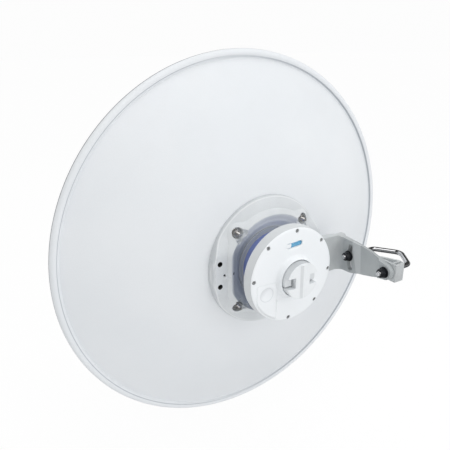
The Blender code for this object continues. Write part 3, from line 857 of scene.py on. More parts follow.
@dataclass(frozen=True)
class CoverPaintedShade(Finish):
    """Cover plastic with a faint painted shade line round the door's dimple."""

    dimple: tuple[float, float] = (-0.0490, -0.0193)
    dimple_radius: float = 0.0112
    painted_dimple_shade: Colour = (0.52, 0.55, 0.58)

    def place_colour(self, g: Graph, colour: Socket) -> Socket:
        """Paints shade on the dimple's edge and inside it, most towards its upper left.

        Args:
            g: the material's graph.
            colour: the colour so far.

        Returns:
            The colour with the dimple's painted shade.
        """
        place = self.dish_place(g)
        # painted shade: a ring on the dimple's edge, and inside it a shade that grows towards the upper left
        across = g.minus(place.x, self.dimple[0])
        up = g.minus(place.z, self.dimple[1])
        away = g.reach(across, up)
        edge = g.times(g.ring(away, self.dimple_radius, 0.0009, 0.0003), 0.35)
        slope = g.span(g.minus(up, across), -0.002, 0.014, 0.02, 0.30)
        inside = g.times(g.span(away, 0.0116, 0.0108), slope)
        return g.blend(g.most(edge, inside), colour, self.painted_dimple_shade)


@dataclass(frozen=True)
class KnobPaintedShade(Finish):
    """Knob plastic with painted shade below its top face, on its side and on the ridge's left slope."""

    painted_side_shade: Colour = (0.40, 0.42, 0.44)

    def place_colour(self, g: Graph, colour: Socket) -> Socket:
        """Paints shade by depth below the top face, and by distance from the middle on the side.

        Args:
            g: the material's graph.
            colour: the colour so far.

        Returns:
            The colour by place.
        """
        place = self.dish_place(g)
        # painted shade: below the top face, stronger on the side wall, and on the ridge's left slope
        below = g.span(place.y, -0.1717, -0.1700)
        edge = g.span(place.radius, 0.0277, 0.0282)
        side = g.times(edge, g.span(place.x, -0.0270, -0.0080, 0.38, 0.70))
        share = g.times(below, g.most(side, 0.22))
        left = g.ring(place.x, -0.0036, 0.0024, 0.0018)
        slope = g.times(left, g.span(place.y, -0.1721, -0.1725, 0.0, 0.22))
        return g.blend(g.most(share, slope), colour, self.painted_side_shade)


@dataclass(frozen=True)
class ArmPaintedLight(Finish):
    """Arm paint with painted light on a band where the inner face steps and towards the foot."""

    painted_band_light: Colour = (0.70, 0.73, 0.74)
    painted_foot_light: Colour = (0.72, 0.75, 0.76)

    def place_colour(self, g: Graph, colour: Socket) -> Socket:
        """Paints light on a slanting band beside the slot, on the inner face alone, and on the foot.

        Args:
            g: the material's graph.
            colour: the colour so far.

        Returns:
            The colour by place.
        """
        place = self.dish_place(g)
        # painted light: a lighter band on the inner face beside the slot, and a lighter foot
        start = g.span(g.minus(place.y, g.times(place.z, 0.22)), -0.1494, -0.1508)
        end = g.span(g.minus(place.y, g.times(place.z, 0.085)), -0.1632, -0.1616)
        inner = g.times(g.span(place.x, 0.1292, 0.1284), 0.5)
        colour = g.blend(g.times(g.times(start, end), inner), colour, self.painted_band_light)
        return g.blend(g.span(place.y, -0.1270, -0.1140, 0.0, 0.55), colour, self.painted_foot_light)


@dataclass(frozen=True)
class VialFluid(Finish):
    """Blue fluid with fine lighter specks."""

    deep: Colour = (0.05, 0.20, 0.36)
    speck_light: Colour = (0.62, 0.86, 0.95)
    speck_scale: float = 620.0

    def place_colour(self, g: Graph, colour: Socket) -> Socket:
        """Deepens the blue at the closed end and scatters light specks through it.

        Args:
            g: the material's graph.
            colour: the blue.

        Returns:
            The colour with its specks.
        """
        colour = g.blend(g.span(self.dish_place(g).x, 0.0085, 0.0125, 0.0, 0.6), colour, self.deep)
        place = g.node("ShaderNodeTexCoord").outputs["Object"]
        cells = g.node("ShaderNodeTexVoronoi", {"Vector": place, "Scale": self.speck_scale})
        speck = g.span(cells.outputs["Distance"], 0.42, 0.12)
        return g.blend(g.times(speck, 0.55), colour, self.speck_light)


def painted_finishes() -> dict[str, Finish]:
    """The painted and cast finishes by short name: material, slot, colour, shade, roughness."""
    return {
        "sheet": DishPaintedShade(
            "dish_powder_coat", "dish_paint", (0.84, 0.865, 0.89), (0.80, 0.83, 0.86), (0.42, 0.55),
            bump=0.05, fine_scale=700.0, broad_scale=5.0, dust=0.05,
        ),
        "cast": CavityPaintedShade(
            "plate_cast_paint", "plate_paint", (0.735, 0.765, 0.785), (0.67, 0.70, 0.72), (0.42, 0.58),
            bump=0.16, fine_scale=800.0, broad_scale=22.0, dust=0.08,
        ),
        "arm": ArmPaintedLight(
            "arm_cast_paint", "arm_cast", (0.50, 0.53, 0.54), (0.445, 0.475, 0.485), (0.45, 0.6),
            metallic=0.15, broad_scale=30.0, bump=0.35, dust=0.1,
        ),
        "jaw": Finish(
            "jaw_cast_metal", "jaw_cast", (0.67, 0.70, 0.71), (0.60, 0.625, 0.635), (0.42, 0.56),
            metallic=0.25, fine_scale=800.0, broad_scale=35.0, bump=0.35, dust=0.1,
        ),
    }


def plastic_finishes() -> dict[str, Finish]:
    """The moulded finishes by short name: material, slot, colour, shade, roughness."""
    return {
        "drum": Finish(
            "hub_drum_plastic", "hub_side", (0.71, 0.735, 0.75), (0.67, 0.695, 0.71), (0.4, 0.5),
            fine_scale=1200.0, bump=0.1,
        ),
        "cover": CoverPaintedShade(
            "hub_cover_plastic", "hub_face", (0.93, 0.96, 0.985), (0.905, 0.935, 0.96), (0.3, 0.42),
            coat=0.15, fine_scale=1300.0, bump=0.05, dust=0.05,
        ),
        "knob": KnobPaintedShade(
            "knob_plastic", "hub_face", (0.88, 0.91, 0.93), (0.84, 0.87, 0.89), (0.34, 0.46),
            coat=0.1, fine_scale=1300.0, bump=0.06, dust=0.05,
        ),
        "neck": NeckPaintedShade(
            "neck_blue_plastic", "neck_blue", (0.20, 0.255, 0.53), (0.165, 0.215, 0.46), (0.3, 0.42),
            fine_scale=1100.0,
        ),
        "fluid": VialFluid(
            "vial_fluid", "vial_blue", (0.17, 0.46, 0.70), (0.12, 0.39, 0.64), (0.06, 0.12),
            coat=1.0, bump=0.02, dust=0.0,
        ),
        "feed": Finish(
            "feed_plastic", "feed_white", (0.83, 0.84, 0.85), (0.79, 0.80, 0.81), (0.38, 0.5),
            fine_scale=1200.0, bump=0.06, dust=0.06,
        ),
    }


def metal_finishes() -> dict[str, Finish]:
    """The bare and coated steels by short name: material, slot, colour, shade, roughness."""
    return {
        "chrome": Finish(
            "polished_chrome", "chrome", (0.64, 0.64, 0.65), (0.57, 0.57, 0.58), (0.05, 0.12),
            metallic=1.0, bump=0.02, dust=0.02, pattern=Pattern.BRUSH,
        ),
        "stainless": Finish(
            "bright_stainless", "stainless", (0.84, 0.82, 0.79), (0.72, 0.70, 0.68), (0.24, 0.40),
            metallic=1.0, dust=0.04, pattern=Pattern.BRUSH,
        ),
        "screw": Finish(
            "dark_screw_steel", "stainless", (0.50, 0.51, 0.51), (0.39, 0.395, 0.40), (0.35, 0.5),
            metallic=0.7, dust=0.02, pattern=Pattern.BRUSH,
        ),
        "black": Finish(
            "black_coated_steel", "black_steel", (0.018, 0.02, 0.026), (0.012, 0.014, 0.018), (0.32, 0.5),
            metallic=0.4, fine_scale=1400.0, bump=0.12, dust=0.06,
        ),
    }


class Finishes:
    """All finishes of the antenna as materials."""

    def __init__(self) -> None:
        """Builds each finish once."""
        effects = SurfaceEffects()
        self.finishes = painted_finishes() | plastic_finishes() | metal_finishes()
        self.materials = {key: finish.build(effects) for key, finish in self.finishes.items()}

    def dress(self, obj: bpy.types.Object, key: str) -> None:
        """Gives an object one finish.

        Args:
            obj: the object.
            key: the finish's short name.
        """
        obj.data.materials.clear()
        obj.data.materials.append(self.materials[key])


@dataclass
class Assembly:
    """What all sub-assemblies share: making, dressing and hanging their pieces."""

    finishes: Finishes
    body: Body = Body.DISH

    def add(self, obj: bpy.types.Object, finish: str, *nodes: str) -> bpy.types.Object:
        """Dresses a piece, hangs it on the body and lets it stand for CAD nodes.

        Args:
            obj: the piece.
            finish: the finish's short name.
            *nodes: CAD nodes that it replaces.

        Returns:
            The piece.
        """
        self.finishes.dress(obj, finish)
        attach(obj, self.body.value)
        if nodes:
            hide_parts(*nodes)
        log.info("%s: %d faces, on %s", obj.name, len(obj.data.polygons), self.body.value)
        return obj

    def on_dish(self, name: str, surface: Surface, smooth_degrees: float = 35.0) -> bpy.types.Object:
        """An object from a surface given in the dish's frame."""
        return make_object(name, surface.moved(DISH_TO_ROW), smooth_degrees)


@dataclass
class ThreadedBar:
    """A screw thread: the radius falls and rises once for each pitch along a helix."""

    radius: float = 0.0040
    depth: float = 0.0006
    pitch: float = THREAD_PITCH
    sides: int = 40

    def surface(self, low: float, high: float, axis: Axis) -> Surface:
        """The threaded bar from low to high.

        Args:
            low: its start along the axis.
            high: its end along the axis.
            axis: its direction.

        Returns:
            A closed bar with chamfered ends.
        """
        sign = 1.0 if high > low else -1.0
        length = abs(high - low)
        rows = int(length / self.pitch * 8)
        along = np.linspace(0.0, length, rows)
        ends = np.minimum(along, length - along)
        body = np.stack([np.full(rows, self.radius), along], -1)
        section = np.concatenate([[[0.0, 0.0]], body, [[0.0, length]]])

        def cut(radius: np.ndarray, place: np.ndarray, turn: np.ndarray) -> Warped:
            """A triangle wave of the helix's phase lowers the radius, and the ends taper.

            Args:
                radius: the plain bar's radius.
                place: distance from its start.
                turn: angle round it.

            Returns:
                The threaded radius, and the place along the axis.
            """
            phase = (place / self.pitch - turn / (2 * np.pi)) % 1.0
            tooth = np.abs(2 * phase - 1.0)
            taper = 0.0008 * (1 - smoothstep(0.0, 0.0011, ends))[:, None]
            return np.minimum(radius - self.depth * tooth, radius - taper), low + sign * place

        made = lathe(section, self.sides, axis, cut)
        made.points[-2:] = aimed(np.array([[0.0, 0.0, low], [0.0, 0.0, high]]), axis)
        return made


@dataclass
class HexNut:
    """A hexagon nut: the radius is the smaller of the hexagon's and of the chamfer cone's."""

    across_flats: float = 0.0130
    height: float = 0.0065
    bore: float = 0.0041
    dome: float = 0.0

    def surface(self, seat: float, away: float, axis: Axis, turn_by: float = 0.0) -> Surface:
        """The nut standing on a seat.

        Args:
            seat: where it stands, along the axis.
            away: 1 or -1, the way it reaches.
            axis: the axis of its bore.
            turn_by: how far the hexagon is turned, in radians.

        Returns:
            A closed nut with its bore.
        """
        corner = self.across_flats / math.sqrt(3)
        height = self.height
        shares = (0.0, 0.04, 0.09, 0.16, 0.5, 0.84, 0.91, 0.96, 1.0)
        outer = [(corner, height * share) for share in shares]
        rim = corner * 0.84
        top = [(rim, height), (self.bore + 0.0009, height)]
        if self.dome:
            ring = self.bore + 0.0016
            top = [
                (rim, height),
                (ring + 0.0010, height),
                (ring + 0.0006, height + 0.7 * self.dome),
                (ring, height + self.dome),
                (self.bore + 0.0002, height + self.dome),
            ]
        top_y = top[-1][1]
        inner = [(self.bore, top_y - 0.0008), (self.bore, 0.0008), (self.bore + 0.0008, 0.0)]
        section = np.array(outer + top + inner)
        count = len(outer)

        def shape(radius: np.ndarray, place: np.ndarray, turn: np.ndarray) -> Warped:
            """Rows of the side follow the hexagon, trimmed by a cone at both ends.

            Args:
                radius: the round section's radius.
                place: distance from the seat.
                turn: angle round the bore.

            Returns:
                The hexagon's radius, and the place along the axis.
            """
            wedge = (turn + turn_by) % (math.pi / 3) - math.pi / 6
            flat = self.across_flats / 2 / np.cos(wedge)
            edge = np.minimum(place, height - place)
            cone = self.across_flats / 2 * 0.985 + edge * 1.9
            side = np.minimum(flat, cone)
            radius = radius.copy()
            radius[:count] = side[:count]
            return radius, seat + away * place

        return lathe(section, 72, axis, shape)


@dataclass
class Washer:
    """A flat washer with softened edges."""

    bore: float = 0.0042
    radius: float = 0.0090
    height: float = 0.0016

    def surface(self, seat: float, away: float, axis: Axis) -> Surface:
        """The washer lying on a seat.

        Args:
            seat: where it lies, along the axis.
            away: 1 or -1, the way it reaches.
            axis: the axis of its bore.

        Returns:
            A closed ring.
        """
        h = self.height
        section = rounded_profile(
            [
                (self.bore, 0.5 * h, 0.0),
                (self.bore, 0.0, 0.0003),
                (self.radius, 0.0, 0.0003),
                (self.radius, h, 0.0004),
                (self.bore, h, 0.0003),
                (self.bore, 0.55 * h, 0.0),
            ],
            3,
        )
        section[:, 1] = seat + away * section[:, 1]
        return lathe(section, 56, axis)


@dataclass
class Reflector(Assembly):
    """The spun dish with its rolled rim."""

    inner_radius: float = 0.0500
    sheet: float = 0.0020
    bead_middle: float = 0.3182
    bead_radius: float = 0.0068

    def build(self) -> None:
        """Makes the shell: a paraboloid front and rear, joined by the rolled bead.

        The last rows of both faces lie close together and rise a little, where the sheet turns
        into the bead.
        """
        radius = np.concatenate([np.linspace(self.inner_radius, 0.3060, 58), [0.3082, 0.3098, 0.3108]])
        rear = np.stack([radius, dish_rear_y(radius)], -1)
        rear[-2:, 1] += [0.0001, 0.0002]
        bead = arc((self.bead_middle, RIM_MIDDLE_Y), self.bead_radius, -151, 158, 34)
        crease = [BEAD_INNER_RADIUS, 0.3104, 0.3094]
        inner = np.concatenate([crease, np.linspace(0.3080, self.inner_radius, 54)])
        front = np.stack([inner, dish_rear_y(inner) + self.sheet], -1)
        front[:3, 1] += [0.0019, 0.0009, 0.0003]
        section = np.concatenate([rear, bead, front])
        shell = self.on_dish("reflector_shell", lathe(section, 360), 50)
        self.add(shell, "sheet", "reflector")


@dataclass
class MountingPlate(Assembly):
    """The cast plate between the dish and the arm, with its ears, studs and nuts."""

    half_width: float = 0.1068
    half_height: float = 0.1092
    bore: float = 0.0606
    cavity_radius: float = 0.0826
    cavity_half_width: float = 0.0775
    shoulder_radius: float = 0.0900
    shoulder_half_width: float = 0.0814
    lip_level: float = -0.0965
    land_level: float = -0.0800
    land_rise: float = 0.0090
    pad_edge: float = 0.1035
    pad_level: float = -0.0907
    step_drop: float = 0.0032
    floor_drop: float = 0.0048
    boss: tuple[float, float] = (-0.0836, -0.0050)
    pin: tuple[float, float] = (-0.0867, -0.0014)
    ear_face: float = -0.0820
    ear_radius: float = 0.0142
    well_radius: float = 0.0088
    scoop_radius: float = 0.0048
    scoop_offset: float = 0.0104
    scoop_depth: float = 0.0048
    stud_bore: float = 0.0034
    seat_bore: float = 0.0041

    def rim_radius(self, turn: np.ndarray) -> np.ndarray:
        """Radius of the plate's oval outline in each direction."""
        return 1 / np.hypot(np.cos(turn) / self.half_width, np.sin(turn) / self.half_height)

    def relief(self, x: np.ndarray, z: np.ndarray) -> np.ndarray:
        """Rear surface of the casting over (x, z).

        The outer land rises in a cone from the rim, with a flat pad cut across each side. A line
        stands round the cavity and bulges round each ear: it is where the soft maximum of a
        flat-sided circle and four discs is zero. From it the surface runs straight up to the
        cavity's lip, and inside the lip two eased steps lead down to the floor.

        Args:
            x: places to the right, in the dish's frame.
            z: places upwards.

        Returns:
            The place along the beam of the surface.
        """
        radius = np.hypot(x, z)
        inward = self.rim_radius(np.arctan2(z, x)) - radius
        land = self.land_level - self.land_rise * soft_least(inward / 0.0215, np.ones_like(x), 0.3)
        beside = smoothstep(-0.0008, 0.0008, self.pad_edge - np.abs(x))
        chord = beside * (1 - smoothstep(0.0280, 0.0620, np.abs(z)))
        land = land + (self.pad_level - land) * chord
        lip = soft_least(self.cavity_radius - radius, self.cavity_half_width - np.abs(x), 0.0015)
        foot = soft_least(self.shoulder_radius - radius, self.shoulder_half_width - np.abs(x), 0.0040)
        ear = np.max([self.ear_radius - np.hypot(x - ex, z - ez) for ex, ez in EARS], axis=0)
        foot = np.clip(-soft_least(-foot, -ear, 0.0150), 0.0, None)
        outside = np.clip(-lip, 0.0, None)
        climb = foot / np.maximum(foot + outside, 1e-6)
        level = land - 0.0005 * smoothstep(0.0, 0.0008, foot) * (1 - climb) + (self.lip_level - land) * climb
        inside = np.clip(lip, 0.0, None)
        step = self.step_drop * smoothstep(0.0, 0.0105, inside)
        level = level + step + self.floor_drop * smoothstep(0.0095, 0.0215, inside)
        for ear_x, ear_z in EARS:
            level = self.pocket(level, x, z, ear_x, ear_z)
        boss = np.hypot(x - self.boss[0], z - self.boss[1])
        level = level - 0.0032 * smoothstep(0.0060, 0.0022, boss)
        pin = np.hypot(x - self.pin[0], z - self.pin[1])
        return level + 0.0060 * smoothstep(0.0021, 0.0014, pin)

    def pocket(
        self, level: np.ndarray, x: np.ndarray, z: np.ndarray, ear_x: float, ear_z: float
    ) -> np.ndarray:
        """Cuts the recess of one ear: a round well with two smaller scoops towards the middle.

        Args:
            level: the surface so far.
            x: places to the right.
            z: places upwards.
            ear_x: middle of the ear.
            ear_z: middle of the ear.

        Returns:
            The surface with the recess.
        """
        well = self.well_radius - np.hypot(x - ear_x, z - ear_z)
        inner_x = math.copysign(self.scoop_offset, ear_x)
        inner_z = math.copysign(self.scoop_offset, ear_z)
        first = self.scoop_radius - np.hypot(x - ear_x + inner_x, z - ear_z)
        second = self.scoop_radius - np.hypot(x - ear_x, z - ear_z + inner_z)
        scoops = -soft_least(-well, -np.maximum(first, second), 0.0030)
        level = level + self.scoop_depth * smoothstep(-0.0010, 0.0018, scoops)
        return level + (np.maximum(level, self.ear_face) - level) * smoothstep(-0.0004, 0.0008, well)

    def build(self) -> None:
        """Makes the casting on a polar grid, then its fasteners."""
        columns = 720
        turn = np.linspace(0.0, 2 * np.pi, columns, endpoint=False)
        rim = self.rim_radius(turn)
        share = np.linspace(0.0, 1.0, 112)[:, None]
        radius = self.bore + share * (rim - 0.0006 - self.bore)
        x = radius * np.cos(turn)
        z = radius * np.sin(turn)
        rear = np.stack([x, self.relief(x, z), z], -1)
        edge_rows = []
        for back, depth in ((0.0002, 0.0012), (0.0, 0.0026), (0.0, 0.0044)):
            edge_rows.append(ring_row(rim - back, np.full_like(turn, self.land_level + depth), turn))
        front_rows = []
        for step in np.linspace(1.0, 0.0, 12):
            reach = self.bore + step * (rim - self.bore)
            front_rows.append(ring_row(reach, dish_rear_y(reach) - 0.0004, turn))
        grid = np.concatenate([rear, np.stack(edge_rows), np.stack(front_rows)])
        faces = grid_faces(len(grid), columns, True, True).tolist()
        plate = self.on_dish("plate_casting", Surface(grid.reshape(-1, 3), faces), 60)
        bores = [("DIFFERENCE", self.drill(x, z, self.stud_bore, 24)) for x, z in EARS]
        bores += [("DIFFERENCE", self.drill(x, z, self.seat_bore, 32)) for x, z in SEAT_BOLTS]
        cut_and_join(plate, bores)
        self.add(plate, "cast", "mounting_plate")
        self.build_fasteners()

    def drill(self, x: float, z: float, radius: float, segments: int) -> Surface:
        """A cutter for a hole through the plate."""
        section = np.array([(0.0, -0.1100), (radius, -0.1100), (radius, -0.0700), (0.0, -0.0700)])
        return lathe(section, segments).moved((x, 0.0, z)).moved(DISH_TO_ROW)

    def build_fasteners(self) -> None:
        """A washer, a nut and a threaded stud on each ear."""
        face = self.ear_face
        for index, (x, z) in enumerate(EARS, start=1):
            place = (x, 0.0, z)
            washer = Washer(bore=self.stud_bore, radius=0.0070).surface(face - GAP, -1.0, Axis.Y)
            washer = self.on_dish(f"stud_washer_{index}", washer.moved(place))
            self.add(washer, "stainless", f"plate_washer_{index}")
            nut = HexNut(0.0106, 0.0056, 0.0032).surface(face - 0.0022, -1.0, Axis.Y, 0.4 * index)
            nut = self.on_dish(f"stud_nut_{index}", nut.moved(place), 24)
            self.add(nut, "stainless", f"plate_nut_{index}")
            stud = ThreadedBar(radius=0.0031, pitch=0.0010).surface(-0.0795, -0.0978, Axis.Y)
            stud = self.on_dish(f"stud_{index}", stud.moved(place), 60)
            self.add(stud, "stainless", f"plate_stud_{index}")


@dataclass
class RadioHub(Assembly):
    """Neck, drum, cover with screws, vial, port door and knob."""

    rear: float = -0.1452
    screws: tuple[float, ...] = (175.4, 130.4, 85.4, 40.4, -4.6, -49.6, -94.6)
    screw_circle: float = 0.0711
    knob_radius: float = 0.0284

    def dome_section(self, raised: float) -> np.ndarray:
        """The cover's section: along its seat to its edge, over the dome and up the collar.

        Args:
            raised: how far the outer face stands above the cover's own.

        Returns:
            The points, (radius, along) in the dish's frame.
        """
        return rounded_profile(
            [
                (0.0288, self.rear - GAP, 0.0),
                (0.0758, self.rear - GAP, 0.0002),
                (0.0755, -0.1460 - raised, 0.0008),
                (0.0738, -0.1470 - raised, 0.0020),
                (0.0670, -0.1478 - raised, 0.0060),
                (0.0540, -0.1493 - raised, 0.0080),
                (0.0400, -0.1503 - raised, 0.0050),
                (0.0345, -0.1509 - raised, 0.0030),
                (0.0324, -0.1530 - raised, 0.0030),
                (0.0314, -0.1568 - raised, 0.0030),
                (0.0308, -0.1596 - raised, 0.0020),
                (0.0301, -0.1601 - raised, 0.0009),
                (0.0288, -0.1590 - raised, 0.0008),
                (0.0288, -0.1540 - raised, 0.0),
            ],
            5,
        )

    def slab(self, outline: np.ndarray) -> Surface:
        """A cutter with the given outline through the whole cover."""
        return dish_cutter(outline, -0.1700, -0.1400, Axis.Y)

    def vial_outline(self, radius: float) -> np.ndarray:
        """The vial's capsule shape: two half circles whose ends are joined by straight sides.

        Args:
            radius: radius of its ends.

        Returns:
            The points, (x, z) in the dish's frame.
        """
        left = arc((-0.0116, 0.0502), radius, 90, 270, 12)
        right = arc((0.0108, 0.0516), radius, -90, 90, 12)
        return np.concatenate([left, right])

    def door_outline(self, margin: float) -> np.ndarray:
        """The port door: straight top and inner side, a round corner, rims that follow the cover.

        Args:
            margin: how far the outline stands outside the door's own.

        Returns:
            The points, (x, z) in the dish's frame.
        """
        reach = 0.0728 + margin
        foot = 0.0346 - margin
        left = -0.0655 - margin
        right = -0.0315 + margin
        top = -0.0020 + margin
        start = math.degrees(math.atan2(-math.sqrt(reach**2 - left**2), left))
        end = math.degrees(math.atan2(-math.sqrt(reach**2 - right**2), right))
        low = math.degrees(math.atan2(-math.sqrt(foot**2 - right**2), right)) % 360
        high = math.degrees(math.atan2(top, -math.sqrt(foot**2 - top**2))) % 360
        collar = arc((0.0, 0.0), foot, low, high, 8)
        corner = arc((left + 0.003, top - 0.003), 0.003, 90, 180, 6)
        return np.concatenate([collar, corner, arc((0.0, 0.0), reach, start, end, 24)])

    def build(self) -> None:
        """Makes each piece of the hub."""
        self.build_neck()
        self.build_drum()
        self.build_cover()
        self.build_knob()

    def build_neck(self) -> None:
        """The blue neck with its base ring."""
        section = rounded_profile(
            [
                (0.0450, -0.1277, 0.0),
                (0.0530, -0.1277, 0.0004),
                (0.0530, -0.0905, 0.0012),
                (0.0602, -0.0905, 0.0008),
                (0.0602, -0.0838, 0.0004),
                (0.0450, -0.0838, 0.0004),
                (0.0450, -0.1000, 0.0),
            ]
        )
        self.add(self.on_dish("neck_tube", lathe(section, 160)), "neck", "hub_neck")

    def build_drum(self) -> None:
        """The drum: a slightly tapered wall with rounded edges."""
        section = rounded_profile(
            [
                (0.0, -0.1280, 0.0),
                (0.0775, -0.1280, 0.0026),
                (0.0758, self.rear, 0.0006),
                (0.0, self.rear, 0.0),
            ],
            8,
        )
        self.add(self.on_dish("hub_drum", lathe(section, 200)), "drum", "hub_housing")

    def build_cover(self) -> None:
        """The cover with its holes, and the door, vial and screws that sit in it."""
        cover = self.on_dish("cover_shell", lathe(self.dome_section(0.0), 240), 30)
        steps = []
        places = []
        for degrees in self.screws:
            turn = math.radians(degrees)
            place = (self.screw_circle * math.cos(turn), self.screw_circle * math.sin(turn))
            places.append(place)
            steps.append(("DIFFERENCE", self.slab(circle(place, 0.0032))))
        steps.append(("DIFFERENCE", self.slab(self.vial_outline(0.0039))))
        steps.append(("DIFFERENCE", self.slab(self.door_outline(0.0003))))
        cut_and_join(cover, steps)
        self.add(cover, "cover", "hub_cover")
        self.build_door()
        self.build_vial()
        for index, (x, z) in enumerate(places, start=1):
            self.build_screw(index, x, z)

    def build_door(self) -> None:
        """The door: part of the dome, a touch proud, with a round thumb dimple cut by a ball."""
        door = self.on_dish("door_leaf", lathe(self.dome_section(0.0002), 300), 30)
        ball = arc((0.0, -0.1757), 0.0288, 90, -90, 60)
        dimple = lathe(ball, 72).moved((-0.0490, 0.0, -0.0193)).moved(DISH_TO_ROW)
        cut_and_join(door, [("INTERSECT", self.slab(self.door_outline(0.0))), ("DIFFERENCE", dimple)])
        self.add(door, "cover", "port_door")

    def build_vial(self) -> None:
        """The vial: a white bubble end beside blue fluid, in one capsule."""
        outline = self.vial_outline(0.0036)
        capsule = extrude(outline, self.rear - GAP, -0.1488, Axis.Y)
        vial = self.on_dish("vial_capsule", capsule)
        soften(vial, 0.0012, 4, 40)
        self.add(vial, "fluid", "level_vial")
        bubble = arc((-0.0120, 0.0502), 0.0033, 80, 280, 14)
        bubble = np.concatenate([bubble, [(-0.0068, 0.0473), (-0.0056, 0.0505), (-0.0060, 0.0537)]])
        cap = self.on_dish("vial_bubble", extrude(bubble, -0.1480, -0.1490, Axis.Y))
        soften(cap, 0.0004, 3, 40)
        self.add(cap, "cover")

    def build_screw(self, index: int, x: float, z: float) -> None:
        """A sunk screw head with a star recess.

        Args:
            index: its number.
            x: its place to the right, in the dish's frame.
            z: its place upwards.
        """
        section = rounded_profile(
            [
                (0.0, self.rear - 0.0002, 0.0),
                (0.0031, self.rear - 0.0002, 0.0),
                (0.0031, -0.1459, 0.0003),
                (0.0017, -0.1461, 0.0002),
                (0.0015, -0.1455, 0.0001),
                (0.0, -0.1455, 0.0),
            ],
            3,
        )
        count = len(section) - 2

        def star(radius: np.ndarray, along: np.ndarray, turn: np.ndarray) -> Warped:
            """Six lobes round the recess: its radius swings with the cosine of six turns."""
            inner = np.arange(count)[:, None] > count - 6
            return np.where(inner, radius * (1 + 0.12 * np.cos(6 * turn)), radius), along

        head = lathe(section, 48, Axis.Y, star).moved((x, 0.0, z))
        self.add(self.on_dish(f"screw_head_{index}", head, 30), "screw", f"cover_screw_{index}")

    def build_knob(self) -> None:
        """The latch knob: a disc with a ridge, two notches and their L-shaped grooves."""
        disc = circle((0.0, 0.0), self.knob_radius, 144)
        knob = self.on_dish("knob_disc", extrude(disc, -0.1720, self.rear - GAP, Axis.Y))
        steps = []
        near = 0.0130
        inner = 0.0156
        far = 0.0600
        half = self.knob_radius * math.sin(math.radians(17.5))
        ledge = self.knob_radius * math.sin(math.radians(12.5))
        for sign in (-1, 1):
            notch = np.array([(near, -half), (far, -half), (far, half), (near, half)]) * (sign, 1)
            steps.append(("DIFFERENCE", dish_cutter(notch, -0.1900, -0.1645, Axis.Y)))
            corners = [(near, -half), (far, -half), (far, -ledge)]
            corners += [(inner, -ledge), (inner, half), (near, half)]
            groove = np.array(corners) * (sign, 1)
            steps.append(("DIFFERENCE", dish_cutter(groove, -0.1900, -0.1550, Axis.Y)))
        wide = 0.0057
        narrow = 0.0014
        slope = [(wide, -0.1710), (wide, -0.1722), (narrow, -0.1746)]
        ridge = [(-x, y) for x, y in slope] + slope[::-1]
        steps.append(("UNION", dish_cutter(np.array(ridge), -0.0266, 0.0266, Axis.Z)))
        cut_and_join(knob, steps)
        soften(knob, 0.0005, 3, 24)
        self.add(knob, "knob", "latch_knob")


